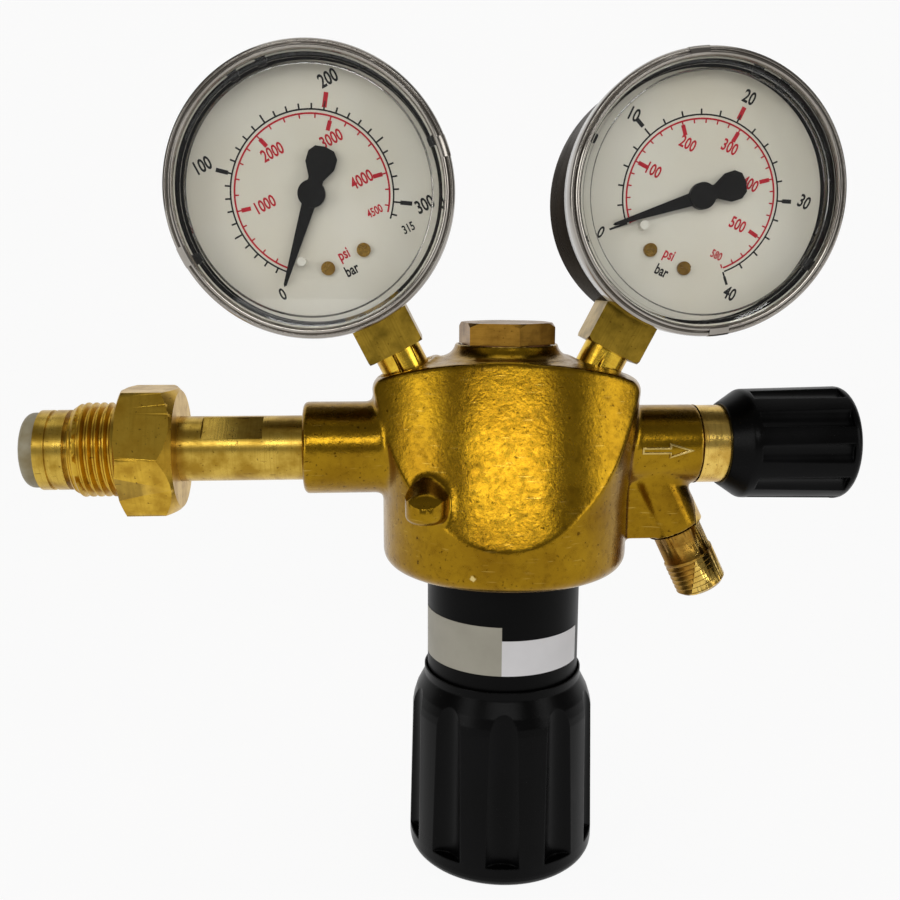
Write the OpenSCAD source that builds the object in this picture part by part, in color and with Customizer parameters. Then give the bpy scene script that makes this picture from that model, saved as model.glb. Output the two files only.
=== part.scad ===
// Two-gauge pressure regulator for compressed-air cylinders.
// Origin: start of the full inlet thread, on the inlet axis. +Z up, gauges face -Y.
// The body stands on its own vertical axis, inlet_reach along +X from the origin.

/* [Inlet] */
// Start of the full inlet thread to the body's vertical axis
inlet_reach = 102.6; // [90:0.1:130]
// Outside diameter of the inlet union thread
inlet_thread_d = 22.912; // [20:0.001:26]
// Length of the full inlet thread
inlet_thread_len = 10; // [7:0.1:14]
// Width across flats of the inlet nut
inlet_nut_af = 29.6; // [27:0.1:36]
// Thickness of the inlet nut's hexagon
inlet_nut_t = 13; // [9:0.1:18]
// Outside diameter of the inlet pipe
pipe_d = 15.9; // [12:0.1:18]
// Bore of the inlet pipe
pipe_bore_d = 6; // [3:0.1:9]
// Width across the wrench flats on the inlet pipe
pipe_flat_af = 14; // [11:0.1:15.5]
// Length of the wrench flats
pipe_flat_len = 14.5; // [6:0.1:20]
// Wrench flats to the inlet boss
pipe_flat_gap = 9.5; // [3:0.1:15]
// Turn of the wrench flats above level, as seen from the front
pipe_flat_turn = 54; // [0:1:90]
// Diameter of the collar at the inlet nose
collar_d = 19.4; // [18:0.1:21]
// Length of the collar
collar_len = 6.7; // [5:0.1:10]
// Play between the collar and the nut's leading end
collar_gap = 1.4; // [0.4:0.1:4]
// Length that the nose seal stands out of the collar
seal_len = 3.8; // [2:0.1:6]
// Diameter of the nose seal
seal_d = 18.2; // [15:0.1:19]

/* [Body] */
// Radius of the body's lower barrel
barrel_r = 30.6; // [29:0.1:35]
// Radius of the body at its shoulder
shoulder_r = 33.1; // [31:0.1:37]
// Height of the shoulder above the inlet axis
shoulder_z = 13; // [8:0.1:16]
// Height of the crown above the inlet axis
crown_z = 23.5; // [21:0.1:27]
// Radius of the crown's curve
crown_curve_r = 90; // [60:1:200]
// Underside of the body below the inlet axis
body_base_z = 29.8; // [27:0.1:34]
// Rounding of the body's lower edge
base_round = 4; // [1:0.1:6]
// Curve radius of the slanted front face
face_curve_r = 60; // [42:0.5:90]
// Slant of the front face from vertical
face_slant = 19; // [12:0.1:28]
// Depth of the front face ahead of the body's axis, at the inlet axis
face_y = 23.95; // [22:0.1:27]
// Turn of the slanted face towards the inlet
face_turn = 7.2; // [-15:0.1:15]
// Diameter of the inlet boss
inlet_boss_d = 22.7; // [20:0.1:26]
// Body axis to the face of the inlet boss
inlet_boss_reach = 50; // [44:0.1:60]
// Diameter of the cast valve boss
valve_boss_d = 20.0; // [19:0.1:24]
// Body axis to the end of the cast valve boss
valve_boss_reach = 48.2; // [46:0.1:56]
// Diameter of the turned end of the valve boss
valve_neck_d = 19.7; // [18.6:0.1:22]
// Length of the turned end of the valve boss
valve_neck_len = 9.8; // [7:0.1:12]
// Diameter of the plug boss on the crown
plug_boss_d = 25.2; // [24:0.1:29]
// Height of the plug boss above the inlet axis
plug_boss_z = 25; // [24:0.1:28]
// Curve radius at the root of each boss
root_round = 3.5; // [1:0.1:5]

/* [Outlet] */
// Slant of the outlet from vertical
outlet_slant = 26.3; // [15:0.1:35]
// Body axis to where the outlet's axis meets the inlet axis
outlet_x = 33.9; // [30:0.1:38]
// Diameter of the cast outlet arm
outlet_arm_d = 14.4; // [13.6:0.1:18]
// Length of the cast arm along the outlet axis
outlet_arm_len = 24; // [20:0.1:30]
// Length of the turned outlet neck
outlet_neck_len = 8; // [3:0.1:12]
// Outside diameter of the outlet thread
outlet_thread_d = 13.157; // [12:0.001:14]
// Length of the full outlet thread
outlet_thread_len = 8.8; // [6:0.1:14]
// Bore of the outlet
outlet_bore_d = 5.5; // [3:0.1:7]
// Thickness of the web between body and outlet
web_t = 9; // [5:0.1:12]
// Lower edge of the web below the inlet axis
web_z = 23.7; // [20:0.1:26]

/* [Top plug] */
// Width across flats of the top plug
plug_af = 21.2; // [19:0.1:24]
// Height of the plug's hexagon
plug_hex_h = 5.2; // [4:0.1:9]
// Turn of the plug's hexagon
plug_turn = 7; // [0:1:30]
// Diameter of the plug's thread
plug_thread_d = 16.7; // [15:0.1:18]
// Thickness of the plug gasket
plug_gasket_t = 0.6; // [0.4:0.1:2]

/* [Pressure setting] */
// Diameter of the bonnet sleeve
sleeve_d = 38.8; // [36:0.1:42]
// Wall of the bonnet sleeve
sleeve_wall = 3.2; // [2:0.1:4]
// Diameter of the bonnet's thread in the body
bonnet_thread_d = 48.8; // [46:0.1:52]
// Thickness of the bonnet's end wall
bonnet_floor_t = 5; // [3:0.1:7]
// Underside of the body to the underside of the bonnet
bonnet_len = 54.5; // [50:0.1:62]
// Underside of the body to the top of the adjusting knob
knob_top_drop = 27.5; // [20:0.1:32]
// Radius of the adjusting knob below its cone
knob_r = 23.3; // [22.5:0.1:27]
// Flare of the adjusting knob's radius towards its rim
knob_flare = 0.8; // [0:0.1:2]
// Height of the adjusting knob
knob_h = 49.8; // [46:0.1:56]
// Height of the knob's cone
knob_cone_h = 8.4; // [3:0.1:8]
// Thickness of the knob's rim
knob_rim_t = 5.5; // [4:0.1:8]
// Flutes around each knob
knob_flutes = 10; // [6:1:14]
// Depth of the knob's flutes
flute_depth = 1.6; // [0.5:0.1:2.2]
// Wall of the adjusting knob
knob_wall = 3.2; // [2.8:0.1:4]
// Diameter of the main spring's wire
main_wire_d = 4; // [2.5:0.1:4.6]
// Mean diameter of the main spring
main_coil_d = 21; // [19:0.1:24]
// Turns of the main spring
main_turns = 4.5; // [3:0.5:5]
// Pitch of the adjusting screw's thread
screw_pitch = 1.5; // [1:0.25:2]
// Diameter of the adjusting screw's thread
screw_d = 10; // [8:0.1:12]

/* [Shut-off valve] */
// Body axis to the front rim of the shut-off knob
shut_knob_reach = 55.0; // [52:0.1:58]
// Radius of the shut-off knob behind its cone
shut_knob_r = 13.9; // [13.5:0.1:17]
// Flare of the shut-off knob's radius towards its end
shut_knob_flare = 0.5; // [0:0.1:1.5]
// Length of the shut-off knob
shut_knob_len = 31.8; // [26:0.1:40]
// Length of the shut-off knob's cone
shut_cone_len = 5.6; // [4:0.1:8]
// Diameter of the shut-off spindle
shut_spindle_d = 7; // [5:0.1:8]
// Depth of the shut-off knob's flutes
shut_flute_depth = 1.1; // [0.4:0.1:1.5]

/* [Gauges] */
// Tilt of each gauge stem from vertical
stem_tilt = 27.2; // [15:0.1:35]
// Body axis to the high-pressure port, at the inlet axis
high_port_x = 14.7; // [14:0.1:17]
// Body axis to the low-pressure port, at the inlet axis
low_port_x = 12.95; // [12:0.1:15]
// Inlet axis to each gauge's centre, along its stem
gauge_reach = 67.8; // [62:0.1:80]
// Inlet axis to each port's face, along its stem
port_face = 21.5; // [20:0.1:24]
// Outside diameter of the bezel ring
bezel_d = 64.4; // [60:0.1:68]
// Depth of the gauge from window to back
gauge_depth = 32; // [25:0.1:36]
// Stem axis to the back of the case
gauge_back = 14; // [9:0.1:18]
// Width across the flats of the gauge stem
stem_af = 14; // [12:0.1:15]
// Gauge centre to the lower face of the stem's square
stem_square_reach = 40.9; // [37:0.1:42]
// Length of the gauge stem's thread
stem_thread_len = 8.2; // [6:0.1:14]
// Sweep of the pointer over its full scale
pointer_sweep = 270; // [180:1:300]

// Turn of the left gauge about its stem, towards the inlet
high_turn = 3; // [-10:0.5:10]
// Turn of the right gauge about its stem, towards the inlet
low_turn = 1; // [-10:0.5:10]

/* [Hidden] */
$fn = 64;
big = 200;
fit = 0.05; // radial clearance of a running fit

// Colours
brass = "#b8932f";
turned_brass = "#cfae4c";
black = "#17181a";
steel = "#b9b4aa";

// Derived places
pipe_r = pipe_d / 2;
nut_lead = 1.7; // chamfer ahead of the full inlet thread
collar_x1 = -nut_lead - collar_gap;
collar_x0 = collar_x1 - collar_len;
boss_face_x = inlet_reach - inlet_boss_reach;
nipple_end_x = boss_face_x + 14;
filter_len = 9;
filter_r = 4.6;
inlet_passage_r = 5.2;
chamber_r = plug_thread_d / 2 + 0.02;
seat_z = -1;
low_roof_z = -13; // roof of the low-pressure chamber
ledge_z = -19; // ledge that the diaphragm lies on
low_r = 20;
diaphragm_t = 1.5;
slip_t = 1;
bonnet_top_z = ledge_z - diaphragm_t - slip_t;
base_z = -body_base_z;
bonnet_thread_r = bonnet_thread_d / 2;
sleeve_r = sleeve_d / 2;
sleeve_in_r = sleeve_r - sleeve_wall;
bonnet_end_z = base_z - bonnet_len;
bonnet_floor_z = bonnet_end_z + bonnet_floor_t;
spring_plate_t = 3.5;
coil_in_r = (main_coil_d - main_wire_d) / 2;
spring_top_z = ledge_z - diaphragm_t - spring_plate_t;
follower_t = 7;
screw_collar_t = 3;
washer_t = 1;
collar_z = bonnet_floor_z + washer_t; // underside of the screw's collar
follower_gap = 0.6;
follower_z = collar_z + screw_collar_t + follower_gap; // underside of the follower at rest
follower_top_z = follower_z + follower_t;
screw_turns = 7; // full travel of the adjusting screw
screw_travel = screw_turns * screw_pitch;
screw_top_z = follower_top_z + screw_travel - 1;
screw_r = screw_d / 2;
journal_r = screw_r + 1;
knob_top_z = base_z - knob_top_drop;
knob_base_z = knob_top_z - knob_h;
knob_clear = 0.4; // knob's mouth to the sleeve
knob_rim_r = knob_r + knob_flare;
knob_floor_z = bonnet_end_z - 0.6;
knob_floor_t = 4;
knob_cap_z = knob_base_z + 2.5;
knob_cap_t = 2;
knob_cap_r = knob_rim_r - 3.4;
hub_r = 9;
drive_af = 9;
drive_end_z = knob_cap_z + knob_cap_t + 3.4;
shut_chamber_x = 35; // body axis to the end of the valve chamber
shut_chamber_r = 6.2;
gland_r = 8;
gland_x = valve_boss_reach - 2.2; // body axis to the inner end of the gland
gland_head_t = 2.5;
gland_face_x = valve_boss_reach + valve_neck_len;
gland_end_x = gland_face_x + gland_head_t;
shut_r = shut_spindle_d / 2;
shut_screw_r = shut_r - 0.5;
shut_pitch = 1.25;
shut_collar_t = 2;
relief_x = inlet_reach - 21.2;
relief_y = -24.5;
relief_boss_r = 4.8;
relief_top_z = -4;
relief_end_z = -13.4;
relief_bore_r = 2.6;
outlet_r = outlet_thread_d / 2;
neck_step = 0.35; // turned neck below the thread's outside
outlet_len = outlet_arm_len + outlet_neck_len + outlet_thread_len + 0.8;
bezel_r = bezel_d / 2;
gauge_front = gauge_depth - gauge_back;
case_r = bezel_r - 0.55;
case_t = 0.8;
stem_thread_r = 13.157 / 2;
stem_neck = 5.8; // smooth neck between the stem's square and its thread
stem_neck_r = 5.75;
stem_end = gauge_reach - stem_square_reach - stem_neck - stem_thread_len;
dial_r = case_r - 2.95;
dial_z = gauge_front - 8.6; // back of the dial ahead of the stem axis
dial_t = 0.5;
pointer_z = dial_z + 1.9;
screw_x = 4.6; // dial screws, beside and below the gauge's centre
screw_y = -16.2;
tube_r = 19.4; // mean radius of the Bourdon tube
tube_end_a = -20; // place of the tube's free end
tube_root_a = 249;
sector_pivot = [9, -7];
sector_r = 10.05;
pinion_r = norm(sector_pivot) - sector_r;
sector_sweep = pointer_sweep * pinion_r / sector_r;
sector_a = atan2(-sector_pivot[1], -sector_pivot[0]); // from the pivot to the pinion
tail_len = 6;
tail_a = sector_a + 180 - sector_sweep / 2;
tail_pin = sector_pivot + tail_len * [cos(tail_a), sin(tail_a)];
tube_tip = tube_r * [cos(tube_end_a), sin(tube_end_a)];

function port_x(side) = side < 0 ? high_port_x : low_port_x;
function arc(c, r, a0, a1, n) = [for (i = [0:n]) let (a = a0 + (a1 - a0) * i / n) c + r * [cos(a), sin(a)]];

// Round bar along X
module xbar(r, x0, x1) translate([x0, 0, 0]) rotate([0, 90, 0]) cylinder(r = r, h = x1 - x0);
// Cone along X
module xcone(r0, r1, x0, x1) translate([x0, 0, 0]) rotate([0, 90, 0]) cylinder(r1 = r0, r2 = r1, h = x1 - x0);
// Round bar along Z
module zbar(r, z0, z1) translate([0, 0, z0]) cylinder(r = r, h = z1 - z0);
module zcone(r0, r1, z0, z1) translate([0, 0, z0]) cylinder(r1 = r0, r2 = r1, h = z1 - z0);
// Hexagon across flats af, along Z
module hexbar(af, z0, z1) translate([0, 0, z0]) cylinder(d = af / cos(30), h = z1 - z0, $fn = 6);
module on_axis() translate([inlet_reach, 0, 0]) children();
// Frame of a gauge's stem: Z up the stem, from the inlet axis
module on_stem(side) translate([inlet_reach + side * port_x(side), 0, 0]) rotate([0, side * stem_tilt, 0])
  children();
// Frame of a gauge's face: X right, Y up the stem, Z towards the viewer
module on_gauge(side) on_stem(side) translate([0, 0, gauge_reach]) rotate([90, 0, 0])
  rotate([0, side < 0 ? -high_turn : -low_turn, 0]) children();
// Frame of the outlet: Z down the outlet, from the inlet axis
module on_outlet() translate([inlet_reach + outlet_x, 0, 0]) rotate([0, 180 - outlet_slant, 0]) children();
// Concave curve at the root of a boss of radius r, standing on z = 0
module root_flare(r, c) rotate_extrude() difference() {
  translate([r - 0.5, -c]) square([c + 0.5, 2 * c]);
  translate([r + c, c]) circle(r = c);
}
// Round-wire coil spring from z0 to z1
module coil(mean_d, wire_d, z0, z1, turns, sides, steps) {
  n = ceil(turns * steps);
  zr = z1 - z0 - wire_d;
  wire_r = wire_d / 2;
  pts = [for (i = [0:n], k = [0:sides - 1])
    let (a = 360 * turns * i / n, b = 360 * k / sides, rr = mean_d / 2 + wire_r * cos(b))
    [rr * cos(a), rr * sin(a), z0 + wire_r + zr * i / n + wire_r * sin(b)]];
  walls = [for (i = [0:n - 1], k = [0:sides - 1]) let (k2 = (k + 1) % sides)
    [i * sides + k, i * sides + k2, (i + 1) * sides + k2, (i + 1) * sides + k]];
  start = [for (k = [sides - 1:-1:0]) k];
  finish = [for (k = [0:sides - 1]) n * sides + k];
  polyhedron(points = pts, faces = concat(walls, [start, finish]), convexity = 6);
}

// Forged body

// Revolved barrel, shoulder and crown
module barrel() rotate_extrude($fn = 128) intersection() {
  polygon(concat([[0, base_z]], arc([barrel_r - base_round, base_z + base_round], base_round, -90, 0, 6),
    [[barrel_r, -12]], arc([shoulder_r - 3.5, shoulder_z + 1.5], 3.5, 0, 60, 5), [[0, crown_z + 8]]));
  translate([0, crown_z - crown_curve_r]) circle(r = crown_curve_r, $fn = 256);
}

// What the slanted front face takes off the barrel
module face_cut() rotate([0, 0, -face_turn]) difference() {
  translate([-big / 2, -big, base_z + 2]) cube([big, big - 2, big]);
  translate([0, -face_y + face_curve_r / cos(face_slant), 0]) rotate([-face_slant, 0, 0])
    cylinder(r = face_curve_r, h = 2 * big, center = true, $fn = 128);
}

module inlet_boss() {
  xbar(inlet_boss_d / 2, -inlet_boss_reach + 0.8, -20);
  xcone(inlet_boss_d / 2 - 0.8, inlet_boss_d / 2, -inlet_boss_reach, -inlet_boss_reach + 0.8);
}

module valve_boss() {
  xbar(valve_boss_d / 2, 20, valve_boss_reach);
  xbar(valve_neck_d / 2, valve_boss_reach, valve_boss_reach + valve_neck_len);
}

module plug_boss() {
  zbar(plug_boss_d / 2, 10, plug_boss_z - 0.8);
  zcone(plug_boss_d / 2, plug_boss_d / 2 - 0.8, plug_boss_z - 0.8, plug_boss_z);
  translate([0, 0, crown_z - 1.1]) root_flare(plug_boss_d / 2, root_round);
}

module outlet_arm() on_outlet() {
  zbar(outlet_arm_d / 2, 4, outlet_arm_len);
  zbar(outlet_r - neck_step, outlet_arm_len, outlet_arm_len + outlet_neck_len);
  zbar(outlet_r, outlet_arm_len + outlet_neck_len, outlet_arm_len + outlet_neck_len + outlet_thread_len);
  zcone(outlet_r, outlet_r - 0.8, outlet_len - 0.8, outlet_len);
}

// Flat web that ties the outlet to the barrel
module outlet_web() {
  web_top = -valve_boss_d / 2 + 3;
  web_end = outlet_x + web_z * tan(outlet_slant) - 3;
  translate([0, web_t / 2, 0]) rotate([90, 0, 0]) linear_extrude(web_t)
    polygon([[24, web_top], [outlet_x - web_top * tan(outlet_slant), web_top], [web_end, -web_z], [24, -web_z]]);
}

module relief_boss() translate([relief_x - inlet_reach, relief_y, 0]) {
  zbar(relief_boss_r, relief_end_z + 1.2, relief_top_z - 0.8);
  zcone(relief_boss_r, relief_boss_r - 0.8, relief_top_z - 0.8, relief_top_z);
  zcone(relief_boss_r - 1.2, relief_boss_r, relief_end_z, relief_end_z + 1.2);
}

module gauge_bosses() for (side = [-1, 1]) translate([-inlet_reach, 0, 0]) on_stem(side) zbar(8.6, 12, port_face);

module body_bores() {
  // high-pressure side
  xbar(pipe_r - 1.5 + 0.02, -inlet_boss_reach - 1, nipple_end_x - inlet_reach + 0.5);
  xbar(inlet_passage_r, nipple_end_x - inlet_reach, 0);
  zbar(chamber_r, seat_z, big);
  zbar(6.02, -8, 0);
  zbar(2.5, low_roof_z - 1, 0);
  // low-pressure side
  zbar(low_r, ledge_z - 1, low_roof_z);
  zbar(bonnet_thread_r + 0.02, base_z - 1, ledge_z);
  xbar(2.5, 16, 36);
  translate([18, 0, 0]) zbar(2.5, low_roof_z - 1, 1);
  xbar(shut_chamber_r, shut_chamber_x, valve_boss_reach);
  xbar(gland_r + 0.02, gland_x, gland_face_x + 1);
  translate([-inlet_reach, 0, 0]) on_outlet() zbar(outlet_bore_d / 2, 7, outlet_len + 1);
  // gauge ports
  for (side = [-1, 1]) translate([-inlet_reach, 0, 0]) on_stem(side) {
    zbar(stem_thread_r + 0.02, stem_end - 0.4, big);
    zbar(1.5, side < 0 ? 1 : -15.5, stem_end);
  }
  // relief valve, open at its lower end, and its passage from the low-pressure chamber
  translate([relief_x - inlet_reach, relief_y, 0]) zbar(relief_bore_r + 0.02, relief_end_z - 0.3, relief_top_z - 3);
  translate([relief_x - inlet_reach, relief_y, relief_top_z - 3.5])
    rotate([0, 0, atan2(-relief_y, inlet_reach - relief_x)]) rotate([0, 118, 0]) zbar(1, 0, 17);
}

module body() color(brass) on_axis() difference() {
  union() {
    difference() {
      barrel();
      face_cut();
    }
    inlet_boss();
    valve_boss();
    plug_boss();
    translate([-inlet_reach, 0, 0]) outlet_arm();
    outlet_web();
    relief_boss();
    gauge_bosses();
  }
  body_bores();
}

// Top plug

plug_hex_z = plug_boss_z + plug_gasket_t;
plug_len = 12;

module top_plug() color(brass) on_axis() {
  difference() {
    union() {
      intersection() {
        rotate([0, 0, plug_turn]) rotate([0, 0, -90]) hexbar(plug_af, plug_hex_z, plug_hex_z + plug_hex_h);
        zcone(plug_af / 2 + plug_hex_h + 0.6, plug_af / 2 - 0.4, plug_hex_z, plug_hex_z + plug_hex_h + 1);
      }
      zbar(plug_thread_d / 2, plug_boss_z - plug_len, plug_hex_z);
    }
    zbar(4.05, plug_boss_z - plug_len - 1, plug_boss_z - 1);
  }
}

module plug_gasket() color("#a9743a") on_axis() difference() {
  zbar(plug_af / 2 + 0.3, plug_boss_z, plug_hex_z);
  zbar(plug_thread_d / 2 + 0.03, plug_boss_z - 1, plug_hex_z + 1);
}

// Inlet

module inlet_nipple() color(turned_brass) difference() {
  union() {
    xbar(pipe_r, collar_x1 - 1, boss_face_x);
    xbar(pipe_r - 1.5, boss_face_x, nipple_end_x);
    difference() {
      xbar(collar_d / 2, collar_x0, collar_x1);
      difference() {
        xbar(collar_d, collar_x0 + 2.6, collar_x0 + 3.7);
        xbar(collar_d / 2 - 0.5, collar_x0, collar_x1);
      }
    }
  }
  xbar(pipe_bore_d / 2, collar_x0 - 1, nipple_end_x + 1);
  xbar(seal_d / 2 - 2, collar_x0 - 1, collar_x0 + 1.2);
  for (turn = [0, 180]) rotate([turn - pipe_flat_turn, 0, 0])
    translate([boss_face_x - pipe_flat_gap - pipe_flat_len, -pipe_r - 2, -pipe_r])
      cube([pipe_flat_len, pipe_r + 2 - pipe_flat_af / 2, 2 * pipe_r]);
}

module inlet_seal() color("#dcdccf") difference() {
  rotate([0, -90, 0]) rotate_extrude() translate([0, -collar_x0])
    polygon(concat([[2.4, -1.15], [seal_d / 2 - 2.05, -1.15], [seal_d / 2 - 2.05, 0], [seal_d / 2, 0]],
      arc([seal_d / 2 - 2, seal_len - 2], 2, 0, 90, 6), [[2.4, seal_len - 0.4]]));
  xbar(2.4, collar_x0 - seal_len - 1, collar_x0 + 2);
}

module inlet_filter() color("#9a6b3c") difference() {
  union() {
    xbar(inlet_passage_r - 0.05, nipple_end_x, nipple_end_x + 1.8);
    xbar(filter_r, nipple_end_x, nipple_end_x + filter_len - 2);
    xcone(filter_r, filter_r - 2, nipple_end_x + filter_len - 2, nipple_end_x + filter_len);
  }
  xbar(2.4, nipple_end_x - 1, nipple_end_x + filter_len - 3);
}

module inlet_nut() color(turned_brass) difference() {
  corner_r = inlet_nut_af / 2 + 2.6; // past the hexagon's corners
  nut_end_x = inlet_thread_len + inlet_nut_t;
  union() {
    xcone(inlet_thread_d / 2 - 1.1, inlet_thread_d / 2, -nut_lead, 0);
    xbar(inlet_thread_d / 2, 0, inlet_thread_len);
    intersection() {
      translate([inlet_thread_len, 0, 0]) rotate([0, 90, 0]) rotate([0, 0, 30])
        cylinder(d = inlet_nut_af / cos(30), h = inlet_nut_t, $fn = 6);
      union() {
        xcone(corner_r - 2.2, corner_r, inlet_thread_len, inlet_thread_len + 1.2);
        xbar(corner_r, inlet_thread_len + 1.2, nut_end_x - 3.2);
        xcone(corner_r, corner_r - 3.2, nut_end_x - 3.2, nut_end_x);
      }
    }
  }
  xbar(pipe_r + fit, -nut_lead - 1, nut_end_x + 1);
}

// Valve

pin_r = 1.2;
seat_top_z = seat_z + 3.5;
poppet_top_z = plug_boss_z - plug_len + 4;

module valve_seat() color(turned_brass) on_axis() difference() {
  union() {
    zbar(6, -7.9, seat_z);
    zbar(chamber_r - 0.05, seat_z, seat_z + 2);
    zcone(4, 2.8, seat_z + 2, seat_top_z);
  }
  zbar(1.8, -9, seat_top_z + 1);
}

module valve_poppet() color("#e3dfd2") on_axis() {
  zbar(5, seat_top_z + 0.05, seat_top_z + 3.5);
  zbar(4, seat_top_z + 3.5, poppet_top_z);
}

module poppet_spring() color(steel) on_axis()
  coil(5.6, 0.8, poppet_top_z + 0.05, plug_boss_z - 1.05, 5, 6, 14);

module diaphragm() color("#26241f") on_axis() rotate_extrude() {
  translate([pin_r + 0.1, ledge_z - diaphragm_t]) square([12, diaphragm_t]);
  translate([13, ledge_z - diaphragm_t]) square([bonnet_thread_r - 0.2 - 13, diaphragm_t]);
}

module diaphragm_plate() color(turned_brass) on_axis() {
  zbar(12, ledge_z, ledge_z + 2);
  zcone(4, pin_r + 0.4, ledge_z + 2, ledge_z + 5);
  zbar(pin_r, ledge_z + 2, seat_top_z);
  zbar(pin_r, ledge_z - diaphragm_t - 2, ledge_z + 1);
}

module spring_plate() color(steel) on_axis() difference() {
  union() {
    zbar(main_coil_d / 2 + main_wire_d / 2 + 0.6, spring_top_z, ledge_z - diaphragm_t);
    zcone(coil_in_r - 2, coil_in_r - 0.5, spring_top_z - 3, spring_top_z);
  }
  zbar(pin_r + 0.05, ledge_z - diaphragm_t - 2.1, ledge_z);
}

module slip_ring() color(steel) on_axis() difference() {
  zbar(bonnet_thread_r - 0.1, bonnet_top_z, bonnet_top_z + slip_t);
  zbar(low_r - 1, bonnet_top_z - 1, bonnet_top_z + slip_t + 1);
}

module main_spring() color("#6f6a60") on_axis()
  coil(main_coil_d, main_wire_d, follower_top_z + 0.05, spring_top_z - 0.05, main_turns, 8, 20);

key_w = 3;
module spring_follower() color(turned_brass) on_axis() difference() {
  union() {
    zbar(sleeve_in_r - 0.3, follower_z, follower_top_z);
    zcone(coil_in_r - 0.5, coil_in_r - 1.6, follower_top_z, follower_top_z + 2.5);
  }
  zbar(screw_r + fit, follower_z - 1, follower_top_z + 4);
  for (side = [-1, 1]) translate([side * (sleeve_in_r - 1), 0, follower_z + follower_t / 2])
    cube([4, key_w + 0.4, follower_t + 1], center = true);
}

module adjusting_screw() color(steel) on_axis() difference() {
  union() {
    zbar(screw_r, collar_z, screw_top_z - 1);
    zcone(screw_r, screw_r - 1, screw_top_z - 1, screw_top_z);
    zbar(journal_r + 3, collar_z, collar_z + screw_collar_t);
    zbar(journal_r, knob_floor_z, collar_z);
    hexbar(drive_af, drive_end_z, knob_floor_z);
  }
  zbar(2.1, drive_end_z - 1, drive_end_z + 9);
}

module thrust_washer() color(steel) on_axis() difference() {
  zbar(journal_r + 3, bonnet_floor_z, collar_z - 0.02);
  zbar(journal_r + 0.1, bonnet_floor_z - 1, collar_z + 1);
}

module bonnet() color(black) on_axis() {
  difference() {
    union() {
      zbar(bonnet_thread_r, base_z, bonnet_top_z);
      zbar(sleeve_r, bonnet_end_z, base_z);
    }
    zbar(sleeve_in_r, bonnet_floor_z, bonnet_top_z + 1);
    zbar(journal_r + fit, bonnet_end_z - 1, bonnet_floor_z + 1);
    zcone(sleeve_in_r, low_r - 1, bonnet_top_z - 2.5, bonnet_top_z + 0.01);
    // bleed hole at the back
    translate([0, sleeve_in_r - 1, base_z - 12]) rotate([-90, 0, 0]) cylinder(r = 1.5, h = sleeve_wall + 2);
  }
  for (side = [-1, 1]) translate([side * (sleeve_in_r - 0.6), 0, (follower_z + follower_top_z + screw_travel) / 2])
    cube([1.4, key_w, follower_t + screw_travel + 3], center = true);
}

// Grip flutes cut into a knob of radius r, from z0 up to z1, the first towards angle a0
module flutes(r, depth, z0, z1, a0) {
  cut_r = r * 0.24;
  for (i = [0:knob_flutes - 1]) rotate([0, 0, a0 + 360 * i / knob_flutes])
    translate([r + cut_r - depth, 0, z0]) cylinder(r = cut_r, h = z1 - z0, $fn = 32);
}

module adjusting_knob() color(black) on_axis() difference() {
  rim_z = knob_base_z + knob_rim_t;
  cone_z = knob_top_z - knob_cone_h;
  mouth_r = sleeve_r + knob_clear + 0.4;
  rotate_extrude() polygon(concat([[0, knob_base_z]], arc([knob_rim_r - 3, knob_base_z + 3], 3, -90, 0, 5),
    [[knob_rim_r, rim_z], [knob_r - 0.05, cone_z - 1.8], [knob_r - 0.35, cone_z], [knob_r - 1.1, cone_z + 2.4],
    [mouth_r, knob_top_z - 2.2], [mouth_r, knob_top_z], [0, knob_top_z]]));
  flutes(knob_r, flute_depth, rim_z + 0.05, knob_top_z + 1, -96);
  zbar(sleeve_r + knob_clear, knob_floor_z, knob_top_z + 1);
  difference() {
    zbar(knob_rim_r - knob_wall - 1.2, knob_cap_z + knob_cap_t - 1, knob_floor_z - knob_floor_t);
    zbar(hub_r, knob_base_z, knob_floor_z);
  }
  zbar(knob_cap_r, knob_base_z - 1, knob_cap_z + knob_cap_t);
  hexbar(drive_af + 0.06, drive_end_z - 0.02, knob_floor_z + 1);
  zbar(2.1, knob_cap_z, drive_end_z);
  zbar(4.3, knob_cap_z, drive_end_z - 1);
}

module knob_screw() color(steel) on_axis() {
  zbar(2, drive_end_z - 3, drive_end_z + 8);
  difference() {
    zbar(4, drive_end_z - 3, drive_end_z - 1);
    translate([0, 0, drive_end_z - 3]) cube([9, 0.9, 1.6], center = true);
  }
}

module knob_cap() color(black) on_axis() {
  zbar(knob_cap_r - 0.05, knob_cap_z, knob_cap_z + knob_cap_t - 0.05);
}

// Shut-off valve

shut_seal_t = 1.2;
shut_seal_r = shut_chamber_r - 1.6;
shut_collar_r = shut_r + 1.2;
shut_disc_x = shut_chamber_x + 0.7;
shut_disc_len = 6.3;
shut_disc_end = shut_disc_x + shut_disc_len;
shut_travel = shut_pitch + 0.3; // room that the disc has to open
shut_bore_x = shut_disc_x + 1.5; // bottom of the thread in the disc
shut_drive = 4.9; // square that carries the knob
shut_drive_len = 10;
shut_end_x = shut_knob_reach + shut_knob_len - 7.3;
shut_drive_x = shut_end_x - shut_drive_len;
shut_cap_t = 1.4;
shut_cap_r = shut_knob_r - 5.3;
groove_x = gland_x + 7; // groove of the spindle's O-ring
groove_t = 2;
groove_r = shut_r + 1.8;
tongue_x = shut_disc_end - 1.4; // tongues that keep the disc from turning
tongue_t = 1.2;
tongue_h = 2.4;

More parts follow.
